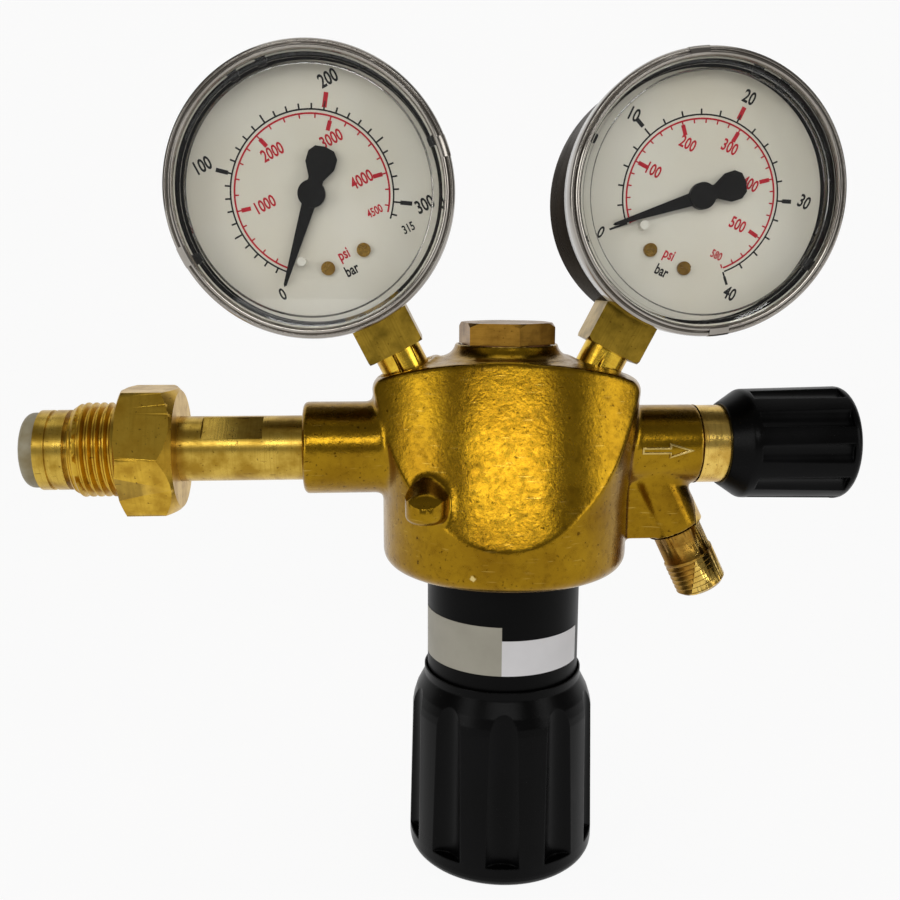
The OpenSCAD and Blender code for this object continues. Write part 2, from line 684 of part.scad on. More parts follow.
module shutoff_gland() color(turned_brass) on_axis() difference() {
  union() {
    xbar(gland_r, gland_x, gland_face_x);
    xbar(gland_r + 1.5, gland_face_x, gland_end_x);
    for (side = [-1, 1]) translate([tongue_x, side * (shut_chamber_r - 0.7) - tongue_t / 2, -tongue_h / 2])
      cube([gland_x - tongue_x + 0.2, tongue_t, tongue_h]);
  }
  xbar(shut_r + fit, gland_x - 1, gland_end_x + 1);
  xbar(groove_r, groove_x, groove_x + groove_t);
}

module shutoff_spindle() color(steel) on_axis() difference() {
  union() {
    xbar(shut_screw_r, shut_bore_x + shut_travel, gland_x - shut_collar_t);
    xbar(shut_collar_r, gland_x - 0.05 - shut_collar_t, gland_x - 0.05);
    xbar(shut_r, gland_x - 0.1, shut_drive_x);
    translate([shut_drive_x, -shut_drive / 2, -shut_drive / 2]) cube([shut_drive_len, shut_drive, shut_drive]);
  }
  xbar(1.6, shut_end_x - 9, shut_end_x + 1);
}

module spindle_oring() color("#1f1e1c") on_axis() translate([groove_x + groove_t / 2, 0, 0]) rotate([0, 90, 0])
  rotate_extrude() translate([shut_r + 0.92, 0]) circle(r = 0.88, $fn = 24);

module shutoff_disc() color(turned_brass) on_axis() difference() {
  xbar(shut_chamber_r - 0.15, shut_disc_x, shut_disc_end);
  xbar(shut_screw_r + fit, shut_bore_x, shut_disc_end + 1);
  xbar(shut_seal_r + 0.02, shut_chamber_x, shut_chamber_x + shut_seal_t + 0.05);
  for (side = [-1, 1]) translate([tongue_x - 1.6, side * (shut_chamber_r - 0.5) - 0.9, -tongue_h / 2 - 0.1])
    cube([6, 1.8, tongue_h + 0.2]);
}

module disc_seal() color("#e3dfd2") on_axis()
  xbar(shut_seal_r, shut_chamber_x + 0.02, shut_chamber_x + 0.02 + shut_seal_t);

module shutoff_knob() color(black) on_axis() difference() {
  x0 = shut_knob_reach;
  x1 = shut_knob_reach + shut_knob_len;
  end_r = shut_knob_r + shut_knob_flare;
  rotate([0, 90, 0]) rotate_extrude() polygon(concat([[0, x0], [10.6, x0]],
    arc([shut_knob_r - 2.5, x0 + shut_cone_len], 2.5, -38, 0, 4),
    arc([end_r - 2, x1 - 2], 2, 0, 90, 5), [[0, x1]]));
  rotate([0, 90, 0]) flutes(shut_knob_r + 0.3, shut_flute_depth, x0 + 6.3, x1 - 2.4, 91.5);
  xbar(valve_neck_d / 2 + 0.1, x0 - 1, gland_end_x + 1);
  difference() {
    xbar(shut_knob_r - 2.95, gland_end_x + 0.5, shut_end_x - 2);
    xbar(6, gland_end_x - 0.5, shut_end_x - 1);
  }
  xbar(shut_r + 0.05, gland_end_x, shut_drive_x);
  translate([shut_drive_x - 1, -shut_drive / 2 - 0.03, -shut_drive / 2 - 0.03])
    cube([shut_drive_len + 1.02, shut_drive + 0.06, shut_drive + 0.06]);
  xbar(1.6, shut_end_x - 1, x1);
  xbar(shut_cap_r + 0.05, shut_end_x + 1.2, x1 + 1);
}

module shutoff_knob_screw() color(steel) on_axis() {
  xbar(1.5, shut_end_x - 8, shut_end_x + 2);
  difference() {
    xbar(3, shut_end_x + 1.2, shut_end_x + 3);
    translate([shut_end_x + 3, 0, 0]) cube([1.6, 0.8, 7], center = true);
  }
}

module shutoff_knob_cap() color(black) on_axis() {
  cap_end_x = shut_knob_reach + shut_knob_len - 0.6;
  xbar(shut_cap_r, cap_end_x - shut_cap_t, cap_end_x);
}

// Relief valve

relief_seat_z = relief_top_z - 3;
vent_t = 1.3;

module relief_poppet() color("#2c2a26") translate([relief_x, relief_y, 0]) {
  zbar(relief_bore_r - 0.08, relief_seat_z - 1.8, relief_seat_z - 0.03);
  zbar(1, relief_seat_z - 2.6, relief_seat_z - 1.8);
}

module relief_spring() color(steel) translate([relief_x, relief_y, 0])
  coil(3.6, 0.5, relief_end_z + 0.1 + vent_t, relief_seat_z - 1.85, 4, 6, 12);

module relief_screw() color(turned_brass) translate([relief_x, relief_y, 0]) difference() {
  zbar(relief_bore_r, relief_end_z, relief_end_z + vent_t);
  zbar(1, relief_end_z - 1, relief_end_z + vent_t + 1);
}

// Pressure gauges

case_rim = 14; // front of the case cup ahead of the stem axis
bezel_z = 11;
lip_z = 15.35;
window_z = gauge_front - 1; // front of the window's raised edge
lip_r = bezel_r - 2.4;
block_front = 6.4;
block_top = -13;

module gauge_stem(side) color(turned_brass) on_gauge(side) difference() {
  half = stem_af / 2;
  thread_y = stem_square_reach + stem_neck; // down from the gauge's centre
  end_y = thread_y + stem_thread_len;
  union() {
    intersection() {
      translate([-half, -stem_square_reach, -half]) cube([stem_af, stem_square_reach - 26, stem_af]);
      translate([0, -stem_square_reach, 0]) rotate([-90, 0, 0]) cylinder(r1 = half + 2.1, r2 = half + 22.1, h = 20);
    }
    translate([-half + 0.1, -26.5, -half]) cube([stem_af - 0.2, 26.5 + block_top, half + block_front]);
    rotate([90, 0, 0]) zbar(stem_neck_r, stem_square_reach - 0.5, thread_y + 1);
    rotate([90, 0, 0]) zbar(stem_thread_r, thread_y, end_y - 0.8);
    rotate([90, 0, 0]) zcone(stem_thread_r, stem_thread_r - 0.8, end_y - 0.8, end_y);
  }
  rotate([90, 0, 0]) zbar(1.5, 18, end_y + 1);
  // cross drill and socket for the Bourdon tube
  translate([-half, -18.6, -3.5]) rotate([0, 90, 0]) cylinder(r = 1, h = half);
  translate([0, 0, -6.02]) rotate([0, 0, tube_root_a - 1]) rotate_extrude(angle = 9)
    translate([tube_r - 1.02, 0]) square([2.04, 5.04]);
  // dial screw holes
  for (s = [-1, 1]) translate([s * screw_x, screw_y, 0]) cylinder(r = 1, h = 20);
}

module gauge_case(side) color("#a9a8a3") on_gauge(side) difference() {
  rotate_extrude($fn = 128) difference() {
    polygon(concat([[0, -gauge_back]], arc([case_r - 1.6, -gauge_back + 1.6], 1.6, -90, 0, 5),
      [[case_r, case_rim], [0, case_rim]]));
    polygon(concat([[-1, -gauge_back + case_t]], arc([case_r - 1.6, -gauge_back + 1.6], 1.6 - case_t, -90, 0, 5),
      [[case_r - case_t, case_rim + 1], [-1, case_rim + 1]]));
  }
  translate([-stem_af / 2 - 0.05, -case_r - 2, -stem_af / 2 - 0.05]) cube([stem_af + 0.1, 8, stem_af + 0.1]);
}

module gauge_bezel(side) color("#b9bab8") on_gauge(side) rotate_extrude($fn = 128) {
  difference() {
    polygon(concat([[case_r + 0.05, bezel_z], [bezel_r, bezel_z]],
      arc([bezel_r - 1.2, gauge_front - 1.2], 1.2, 0, 90, 4),
      [[lip_r, gauge_front - 0.5], [lip_r, lip_z], [case_r + 0.05, lip_z]]));
  }
}

module gauge_window(side) color("#dfe6e6", 0.35) on_gauge(side) rotate_extrude($fn = 128)
  polygon([[0, case_rim + 0.6], [lip_r - 1.2, case_rim + 0.6], [lip_r - 1.2, case_rim + 0.03],
    [case_r - 0.05, case_rim + 0.03], [case_r - 0.05, lip_z - 0.05], [lip_r - 0.05, lip_z - 0.05],
    [lip_r - 0.05, window_z - 0.4], [lip_r - 0.5, window_z], [lip_r - 2.4, window_z],
    [lip_r - 2.8, window_z - 0.8], [0, window_z - 0.8]]);

module gauge_dial(side) color("#eeece6") on_gauge(side) difference() {
  zbar(dial_r, dial_z, dial_z + dial_t);
  zbar(1.7, dial_z - 1, dial_z + 2);
  for (s = [-1, 1]) translate([s * screw_x, screw_y, 0]) zbar(1, dial_z - 1, dial_z + 2);
  translate([-9.1, -12.2, 0]) zbar(0.5, dial_z - 1, dial_z + 2);
}

module gauge_dial_screws(side) color(turned_brass) on_gauge(side)
  for (s = [-1, 1]) translate([s * screw_x, screw_y, 0]) difference() {
  union() {
    zbar(0.95, 1, dial_z + dial_t + 0.5);
    zbar(1.6, dial_z + dial_t + 0.01, dial_z + dial_t + 0.8);
  }
  translate([0, 0, dial_z + dial_t + 0.9]) rotate([0, 0, 25]) cube([4, 0.35, 0.9], center = true);
}

module gauge_stop_pin(side) color("#e8e6df") on_gauge(side) translate([-9.1, -12.2, 0]) {
  zbar(0.48, dial_z - 0.8, dial_z + 1);
  zbar(1, dial_z + dial_t + 0.01, dial_z + dial_t + 2.9);
}

pointer_tip = 21.8;
pointer_tail = 10.7;
pointer_hub_r = 3.1;
module gauge_pointer(side) color(black) on_gauge(side) rotate([0, 0, -225]) difference() {
  union() {
    zbar(pointer_hub_r, pointer_z - 0.6, pointer_z + 1);
    translate([0, 0, pointer_z - 0.2]) linear_extrude(0.5)
      for (half = [0, 1]) mirror([half, 0]) polygon([[-0.01, pointer_tip], [0, pointer_tip], [0.35, pointer_tip - 0.6],
        [1.7, 0], [1.7, -3.4], [3.35, -6.4], [3.35, -8.8], [2.2, -10.3], [0, -pointer_tail], [-0.01, -pointer_tail]]);
  }
  zbar(0.9, pointer_z - 2, pointer_z + 0.6);
}

plate_t = 1;
plate_gap = 5;
plate_z = 0.5;
arbor_r = 0.9;
sector_pin_r = 0.8;
sector_z = 3.7;
sector_t = 0.8;
link_z = 2.9;
link_t = 0.6;
tube_end_z = -0.6; // front of the tube's end piece

// Outline of both movement plates
module plate_outline() {
  circle(r = 4.6);
  polygon([[-4.6, 0], [0, 4.6], [4, 8.6], [8, 6.6], [12.4, -6], [9, -10.4], [-1, -13], [-9, -5]]);
  translate(sector_pivot) circle(r = 3.4);
}

module gauge_movement(side) color("#c2a85c") on_gauge(side) difference() {
  union() {
    translate([0, 0, plate_z]) linear_extrude(plate_t) difference() {
      plate_outline();
      translate([-9, -20.9]) square([18, 8]);
    }
    translate([0, 0, plate_z + plate_t + plate_gap]) linear_extrude(plate_t) union() {
      plate_outline();
      translate([-6.9, -19]) square([13.8, 10]);
    }
    for (p = [[-6.2, -3.6], [-1.6, -11.4], [5, 5.8]]) translate(p) zbar(1, plate_z + 0.5, plate_z + plate_gap + 1.5);
    for (s = [-1, 1]) translate([s * screw_x, screw_y, 0]) zbar(1.7, plate_z + plate_gap + 1.5, dial_z - 0.01);
  }
  zbar(arbor_r + fit, -1, dial_z);
  translate(sector_pivot) zbar(sector_pin_r + fit, -1, dial_z);
  for (s = [-1, 1]) translate([s * screw_x, screw_y, 0]) zbar(1, 0, dial_z + 1);
}

module gauge_pinion(side) color(steel) on_gauge(side) {
  zbar(arbor_r, plate_z + 0.1, pointer_z + 0.55);
  zbar(pinion_r - 0.03, sector_z - 0.3, sector_z + sector_t + 0.3);
}

module gauge_sector(side) color("#c2a85c") on_gauge(side) {
  translate(sector_pivot) {
    zbar(sector_pin_r, plate_z + 0.1, plate_z + plate_gap + 1.9);
    zbar(1.9, sector_z - 0.2, sector_z + sector_t + 0.4);
    translate([0, 0, sector_z]) linear_extrude(sector_t) {
      polygon(concat([[0, 0]], arc([0, 0], sector_r - 0.03, sector_a - sector_sweep - 4, sector_a + 4, 24)));
      rotate(tail_a) translate([0, -0.9]) square([tail_len, 1.8]);
      rotate(tail_a) translate([tail_len, 0]) circle(r = 1.3);
    }
    rotate(tail_a) translate([tail_len, 0]) zbar(0.6, link_z - 0.1, sector_z + 0.1);
  }
}

// Link between the tube's end and the sector, with the stud that stands on the tube's end piece
module gauge_link(side) color("#c2a85c") on_gauge(side) {
  span = tube_tip - tail_pin;
  translate([0, 0, link_z]) linear_extrude(link_t) difference() {
    union() {
      translate(tail_pin) rotate(atan2(span[1], span[0])) translate([0, -0.7]) square([norm(span), 1.4]);
      translate(tail_pin) circle(r = 1.3);
      translate(tube_tip) circle(r = 1.3);
    }
    translate(tail_pin) circle(r = 0.6 + fit);
  }
  translate(tube_tip) zbar(0.6, tube_end_z + 0.05, link_z + 0.1);
}

module gauge_bourdon_tube(side) color("#b08d4f") on_gauge(side) {
  translate([0, 0, -6]) rotate([0, 0, tube_end_a])
    rotate_extrude(angle = tube_root_a + 6 - tube_end_a, $fn = 96) translate([tube_r - 1, 0]) difference() {
    square([2, 5]);
    translate([0.6, 0.6]) square([0.8, 3.8]);
  }
  // end piece that the link stands on
  translate([0, 0, -6]) rotate([0, 0, tube_end_a - 7]) rotate_extrude(angle = 10)
    translate([tube_r - 1.4, -0.4]) square([2.8, tube_end_z + 6.4]);
}

body();
top_plug();
plug_gasket();
inlet_nipple();
inlet_nut();
inlet_seal();
inlet_filter();
valve_seat();
valve_poppet();
poppet_spring();
diaphragm();
diaphragm_plate();
spring_plate();
slip_ring();
main_spring();
spring_follower();
adjusting_screw();
thrust_washer();
bonnet();
adjusting_knob();
knob_screw();
knob_cap();
shutoff_gland();
shutoff_spindle();
spindle_oring();
shutoff_disc();
disc_seal();
shutoff_knob();
shutoff_knob_screw();
shutoff_knob_cap();
relief_poppet();
relief_spring();
relief_screw();
gauge_stem(-1);  // high_stem
gauge_case(-1);  // high_case
gauge_bezel(-1);  // high_bezel
gauge_window(-1);  // high_window
gauge_dial(-1);  // high_dial
gauge_dial_screws(-1);  // high_dial_screws
gauge_stop_pin(-1);  // high_stop_pin
gauge_pointer(-1);  // high_pointer
gauge_pinion(-1);  // high_pinion
gauge_sector(-1);  // high_sector
gauge_link(-1);  // high_link
gauge_bourdon_tube(-1);  // high_bourdon_tube
gauge_movement(-1);  // high_movement
gauge_stem(1);  // low_stem
gauge_case(1);  // low_case
gauge_bezel(1);  // low_bezel
gauge_window(1);  // low_window
gauge_dial(1);  // low_dial
gauge_dial_screws(1);  // low_dial_screws
gauge_stop_pin(1);  // low_stop_pin
gauge_pointer(1);  // low_pointer
gauge_pinion(1);  // low_pinion
gauge_sector(1);  // low_sector
gauge_link(1);  // low_link
gauge_bourdon_tube(1);  // low_bourdon_tube
gauge_movement(1);  // low_movement
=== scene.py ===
"""Two-gauge cylinder pressure regulator: finishes, the fine forms the solids leave out, studio and camera."""

import math

import bmesh
import bpy
from mathutils import Matrix, Vector


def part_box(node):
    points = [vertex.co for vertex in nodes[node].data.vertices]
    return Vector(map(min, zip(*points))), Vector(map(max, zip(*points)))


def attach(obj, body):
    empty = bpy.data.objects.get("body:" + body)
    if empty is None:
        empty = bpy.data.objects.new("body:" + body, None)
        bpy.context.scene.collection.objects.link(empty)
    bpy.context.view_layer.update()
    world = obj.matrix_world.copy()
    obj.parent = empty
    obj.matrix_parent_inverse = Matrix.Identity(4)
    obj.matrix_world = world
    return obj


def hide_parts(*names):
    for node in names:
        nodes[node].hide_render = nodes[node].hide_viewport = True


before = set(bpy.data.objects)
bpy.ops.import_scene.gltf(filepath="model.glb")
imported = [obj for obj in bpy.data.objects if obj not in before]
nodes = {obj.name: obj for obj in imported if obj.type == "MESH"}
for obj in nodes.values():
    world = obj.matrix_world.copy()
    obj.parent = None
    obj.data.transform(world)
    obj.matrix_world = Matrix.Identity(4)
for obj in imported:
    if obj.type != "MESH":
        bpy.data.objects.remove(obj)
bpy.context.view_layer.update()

# Lengths are in millimetres and angles in degrees, apart from the studio and camera, which are in metres

MM = 0.001
SIDES = ("high", "low")
AXIS_X = 102.6  # the body's own vertical axis, from the start of the inlet thread
PORT_X = {"high": -14.7, "low": 12.95}  # from the body's axis to each stem's, at the level of the inlet
STEM_TILT = {"high": -27.2, "low": 27.2}
GAUGE_TURN = {"high": 3, "low": 1}  # each gauge is screwed up a little past square
GAUGE_REACH = 67.8  # along the stem to the centre of the dial
OUTLET_SLANT = 26.3
OUTLET_X = 33.9  # from the body's axis to the outlet's, at the level of the inlet


# Places


def turned(degrees, axis):
    return Matrix.Rotation(math.radians(degrees), 4, axis)


def at(x, y, z):
    return Matrix.Translation((x, y, z))


def gauge_place(side):
    """A gauge's own place: X right, Y up its stem, Z towards the viewer, from the centre of the dial."""
    return (
        at(AXIS_X + PORT_X[side], 0, 0)
        @ turned(STEM_TILT[side], "Y")
        @ at(0, 0, GAUGE_REACH)
        @ turned(90, "X")
        @ turned(-GAUGE_TURN[side], "Y")
    )


BODY = at(AXIS_X, 0, 0)
OUTLET = at(AXIS_X + OUTLET_X, 0, 0) @ turned(180 - OUTLET_SLANT, "Y")
ALONG_X = turned(90, "Y")
METRES = Matrix.Scale(MM, 4)
MILLIMETRES = Matrix.Scale(1 / MM, 4)


def on_dial(radius, clockwise):
    """The point on a dial at an angle clockwise from its top."""
    a = math.radians(clockwise)
    return radius * math.sin(a), radius * math.cos(a)


# Modelling


NOWHERE = (0, 0, 0)


def deselect():
    if bpy.context.object and bpy.context.object.mode != "OBJECT":
        bpy.ops.object.mode_set(mode="OBJECT")
    bpy.ops.object.select_all(action="DESELECT")


def pick(obj):
    deselect()
    obj.select_set(True)
    bpy.context.view_layer.objects.active = obj
    return obj


def open_up(obj):
    """Opens a piece in edit mode with all of it selected."""
    pick(obj)
    bpy.ops.object.mode_set(mode="EDIT")
    bpy.ops.mesh.select_all(action="SELECT")


def close_up():
    bpy.ops.object.mode_set(mode="OBJECT")


def face_outward(obj):
    open_up(obj)
    bpy.ops.mesh.normals_make_consistent(inside=False)
    close_up()


def chain(section):
    """A closed chain of points in the plane of X and Z, as a start for a turned form."""
    deselect()
    bpy.ops.mesh.primitive_circle_add(vertices=len(section), radius=1, fill_type="NOTHING", location=NOWHERE)
    obj = bpy.context.object
    for vertex, (r, z) in zip(obj.data.vertices, section):
        vertex.co = Vector((r, 0, z))
    return obj


def modify(obj, kind, **settings):
    """Adds a modifier with its settings and applies it."""
    pick(obj)
    modifier = obj.modifiers.new(kind.lower(), kind)
    for name, value in settings.items():
        setattr(modifier, name, value)
    bpy.ops.object.modifier_apply(modifier=modifier.name)
    return obj


def select_faces(obj, test):
    """In edit mode, selects only the faces whose centre and normal pass the test."""
    bpy.ops.mesh.select_mode(type="FACE")
    mesh = bmesh.from_edit_mesh(obj.data)
    for face in mesh.faces:
        face.select_set(bool(test(face.calc_center_median(), face.normal)))
    mesh.select_flush_mode()
    bmesh.update_edit_mesh(obj.data)


def select_edges(obj, test):
    bpy.ops.mesh.select_mode(type="EDGE")
    mesh = bmesh.from_edit_mesh(obj.data)
    for edge in mesh.edges:
        edge.select_set(bool(test(edge.verts[0].co, edge.verts[1].co)))
    mesh.select_flush_mode()
    bmesh.update_edit_mesh(obj.data)


def piece(obj, name, body, coat, place=None, smooth=None):
    """Settles a finished piece: its place goes into its mesh, in metres, and it rides on a body."""
    pick(obj)
    bpy.context.view_layer.update()
    obj.name = name
    obj.data.name = name
    if place is not None:
        obj.data.transform(METRES @ place @ obj.matrix_world)
    else:
        obj.data.transform(obj.matrix_world)
    obj.matrix_world = Matrix()
    obj.data.materials.clear()
    obj.data.materials.append(coat)
    if smooth is not None:
        bpy.ops.object.shade_smooth_by_angle(angle=math.radians(smooth))
    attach(obj, body)
    return obj


def copy_node(name):
    """A merged copy of a CAD node, in metres, for a piece that starts from it."""
    obj = nodes[name].copy()
    obj.data = nodes[name].data.copy()
    obj.parent = None
    for key in list(obj.keys()):
        del obj[key]
    bpy.context.scene.collection.objects.link(obj)
    open_up(obj)
    bpy.ops.mesh.remove_doubles(threshold=2e-6)
    close_up()
    return obj


def cut_off(obj, point, normal):
    """Cuts away what lies beyond a plane, and closes the cut."""
    open_up(obj)
    bpy.ops.mesh.bisect(plane_co=point, plane_no=normal, use_fill=True, clear_outer=True)
    close_up()


def cut_thread(obj, place, start, turns, pitch, outside, depth):
    """Cuts a right-handed thread groove into a round piece in metres, along the place's Z axis."""
    root = outside - depth
    clear = outside + 0.06
    half_root = 0.09 * pitch
    half_mouth = 0.43 * pitch
    groove = chain([(root, -half_root), (root, half_root), (clear, half_mouth), (clear, -half_mouth)])
    steps = int(44 * turns)
    modify(
        groove,
        "SCREW",
        angle=2 * math.pi * turns,
        screw_offset=pitch * turns,
        steps=steps,
        render_steps=steps,
        use_merge_vertices=False,
        use_smooth_shade=False,
    )
    open_up(groove)
    bpy.ops.mesh.fill_holes(sides=8)
    bpy.ops.mesh.normals_make_consistent(inside=False)
    close_up()
    groove.data.transform(METRES @ place @ at(0, 0, start))
    modify(obj, "BOOLEAN", operation="DIFFERENCE", solver="EXACT", object=groove)
    bpy.data.objects.remove(groove)


# Finishes

# The places of the sockets that share their name: of Map Range, and of Mix as a mix of two colours
INPUT, LOW, HIGH, TO_LOW, TO_HIGH = 0, 1, 2, 3, 4
SHARE, FIRST, SECOND = 0, 6, 7


def spacing(size):
    """The scale of a pattern whose features are about this size."""
    return 1 / (size * MM)


def linear(code):
    """The linear colour of an sRGB hex value."""
    channels = [int(code[i : i + 2], 16) / 255 for i in (1, 3, 5)]
    return [c / 12.92 if c <= 0.04045 else ((c + 0.055) / 1.055) ** 2.4 for c in channels] + [1]


def place_node(tree, kind, inputs=None, **settings):
    """Adds a node with its settings. Each input takes a value, a hex colour, a node or a node's output."""
    node = tree.nodes.new("ShaderNode" + kind)
    for name, value in settings.items():
        setattr(node, name, value)
    for name, value in (inputs or {}).items():
        if isinstance(value, bpy.types.Node):
            value = next(output for output in value.outputs if output.enabled)
        if isinstance(value, bpy.types.NodeSocket):
            tree.links.new(value, node.inputs[name])
        else:
            node.inputs[name].default_value = linear(value) if isinstance(value, str) else value
    return node


def new_finish(name):
    """An empty material, and its node tree."""
    material = bpy.data.materials.new(name)
    material.use_nodes = True
    material.node_tree.nodes.clear()
    return material, material.node_tree


# Forged brass, shot-cleaned and handled for years: a deep golden brown that flares to yellow under the lamp,
# with cloudy darker patches, small dark pits, hair scratches, and a pale colour on convex edges that is
# partly rubbed bare metal and partly a painted highlight.
forged_brass, tree = new_finish("forged_brass_handled")
where = place_node(tree, "TexCoord").outputs["Object"]
cloud = place_node(
    tree, "TexNoise", {"Vector": where, "Scale": spacing(15), "Detail": 5.0, "Roughness": 0.6}
)
mottle = place_node(
    tree, "TexNoise", {"Vector": where, "Scale": spacing(1.8), "Detail": 5.0, "Roughness": 0.65}
)
pits = place_node(tree, "TexNoise", {"Vector": where, "Scale": spacing(0.9), "Detail": 2.0})
skin = place_node(tree, "TexNoise", {"Vector": where, "Scale": spacing(0.75), "Detail": 3.0})
waves = place_node(tree, "TexNoise", {"Vector": where, "Scale": spacing(4), "Detail": 2.0})
# Hair scratches, a few millimetres long and about 0.3 mm wide so that they show, in two directions
slanted = place_node(
    tree,
    "Mapping",
    {"Vector": where, "Rotation": (0, 0.7, 0.2), "Scale": (spacing(6), 300, spacing(0.3))},
)
crossed = place_node(
    tree,
    "Mapping",
    {"Vector": where, "Rotation": (0, -0.5, 0.4), "Scale": (spacing(5), 300, spacing(0.3))},
)
first_scratch = place_node(tree, "TexNoise", {"Vector": slanted, "Scale": 1.0, "Detail": 0.0})
second_scratch = place_node(tree, "TexNoise", {"Vector": crossed, "Scale": 1.0, "Detail": 0.0})
scratch = place_node(tree, "Math", {0: first_scratch, 1: second_scratch}, operation="MAXIMUM")
scratch = place_node(tree, "MapRange", {INPUT: scratch, LOW: 0.79, HIGH: 0.86, TO_HIGH: 0.3})
# Convex edges are painted pale: partly rubbed bare metal, partly a painted highlight along each edge.
corners = place_node(tree, "NewGeometry").outputs["Pointiness"]
edge = place_node(tree, "MapRange", {INPUT: corners, LOW: 0.525, HIGH: 0.6, TO_HIGH: 0.6})
patchy = place_node(tree, "MapRange", {INPUT: cloud, LOW: 0.3, HIGH: 0.75})
worn = place_node(tree, "MapRange", {INPUT: mottle, LOW: 0.5, HIGH: 0.8, TO_HIGH: 0.5})
pitted = place_node(tree, "MapRange", {INPUT: pits, LOW: 0.66, HIGH: 0.74, TO_HIGH: 0.8})
base = "#a07c1a"
for share, tone in (
    (patchy, "#7b5910"),
    (worn, "#583a09"),
    (pitted, "#3b2507"),
    (scratch, "#e3c268"),
    (edge, "#f1dc97"),
):
    base = place_node(tree, "Mix", {SHARE: share, FIRST: base, SECOND: tone}, data_type="RGBA")
rough = place_node(tree, "MapRange", {INPUT: mottle, LOW: 0.3, HIGH: 0.7, TO_LOW: 0.18, TO_HIGH: 0.3})
bump = place_node(tree, "Bump", {"Height": skin, "Strength": 1.0, "Distance": 0.03 * MM})
bump = place_node(tree, "Bump", {"Height": waves, "Strength": 1.0, "Distance": 0.06 * MM, "Normal": bump})
bump = place_node(
    tree,
    "Bump",
    {"Height": scratch, "Strength": 0.5, "Distance": 0.02 * MM, "Normal": bump},
    invert=True,
)
metal = place_node(
    tree, "BsdfPrincipled", {"Base Color": base, "Metallic": 1.0, "Roughness": rough, "Normal": bump}
)
place_node(tree, "OutputMaterial", {"Surface": metal})


def machined_brass(name, place, colour, shade, rough, grain, depth=0.02):
    """Machined brass bar: clear yellow metal with fine marks, dull patches and small dark flecks.

    grain is the spacing of the marks across and along the place's Z axis: rings are short along it, and the
    streaks of a drawn bar are long.
    """
    material, tree = new_finish(name)
    where = place_node(tree, "TexCoord").outputs["Object"]
    back = place.to_3x3().inverted()
    local = place_node(
        tree,
        "Mapping",
        {"Vector": where, "Location": -(back @ (place.to_translation() * MM)), "Rotation": back.to_euler()},
    )
    across, along = (spacing(size) for size in grain)
    stretched = place_node(tree, "Mapping", {"Vector": local, "Scale": (across, across, along)})
    slashed = place_node(
        tree, "Mapping", {"Vector": where, "Rotation": (0.3, 0.8, 0.5), "Scale": (250, 700, 2500)}
    )
    marks = place_node(tree, "TexNoise", {"Vector": stretched, "Scale": 1.0, "Detail": 2.0})
    patch = place_node(
        tree, "TexNoise", {"Vector": where, "Scale": spacing(6), "Detail": 5.0, "Roughness": 0.6}
    )
    fleck = place_node(tree, "TexNoise", {"Vector": where, "Scale": spacing(0.8), "Detail": 1.0})
    nick = place_node(tree, "TexNoise", {"Vector": slashed, "Scale": 1.0, "Detail": 0.0})
    base = colour
    for pattern, low, high, most, tone in (
        (patch, 0.42, 0.66, 1.0, shade),
        (marks, 0.5, 0.75, 0.5, shade),
        (fleck, 0.7, 0.76, 0.7, "#5a3d12"),
        (nick, 0.8, 0.83, 0.6, "#5a3d12"),
    ):
        share = place_node(tree, "MapRange", {INPUT: pattern, LOW: low, HIGH: high, TO_HIGH: most})
        base = place_node(tree, "Mix", {SHARE: share, FIRST: base, SECOND: tone}, data_type="RGBA")
    bump = place_node(tree, "Bump", {"Height": marks, "Strength": 1.0, "Distance": depth * MM})
    dull = place_node(
        tree, "MapRange", {INPUT: patch, LOW: 0.3, HIGH: 0.7, TO_LOW: rough, TO_HIGH: rough + 0.12}
    )
    metal = place_node(
        tree, "BsdfPrincipled", {"Base Color": base, "Metallic": 1.0, "Roughness": dull, "Normal": bump}
    )
    place_node(tree, "OutputMaterial", {"Surface": metal})
    return material


RINGS = (12, 0.3)
STREAKS = (0.3, 14)
# Brass parts by how they were cut: pale and bright where turned, browner where milled, drawn or stamped.
turned_pipe = machined_brass("turned_brass_pipe", ALONG_X, "#c9a84a", "#9f7c28", 0.24, RINGS)
turned_nut = machined_brass("machined_brass_nut", ALONG_X, "#cfa83c", "#a98226", 0.27, (14, 0.9), 0.015)
turned_neck = machined_brass("turned_brass_neck", ALONG_X, "#e2bf63", "#b98f38", 0.2, RINGS, 0.035)
turned_upright = machined_brass("turned_brass_upright", BODY, "#cfa845", "#a98231", 0.26, RINGS)
milled_plug = machined_brass("milled_brass_plug", BODY, "#936d2a", "#6f4e1a", 0.28, (6, 0.4))
turned_outlet = machined_brass("turned_brass_outlet", OUTLET, "#b18a3a", "#875f20", 0.32, RINGS, 0.03)
stem_axis = {side: gauge_place(side) @ turned(90, "X") for side in SIDES}
drawn_stems = {
    side: machined_brass("drawn_brass_stem_" + side, stem_axis[side], "#a8882f", "#77601d", 0.27, STREAKS)
    for side in SIDES
}
turned_stems = {
    side: machined_brass("turned_brass_stem_" + side, stem_axis[side], "#e6c040", "#c1962a", 0.16, RINGS)
    for side in SIDES
}
stamped_brass = machined_brass("stamped_brass_movement", ALONG_X, "#c9aa5c", "#b18f45", 0.35, (3, 3))
screw_brass = machined_brass("cut_brass_screw", BODY, "#b08a3c", "#7c5a20", 0.22, (1, 1))


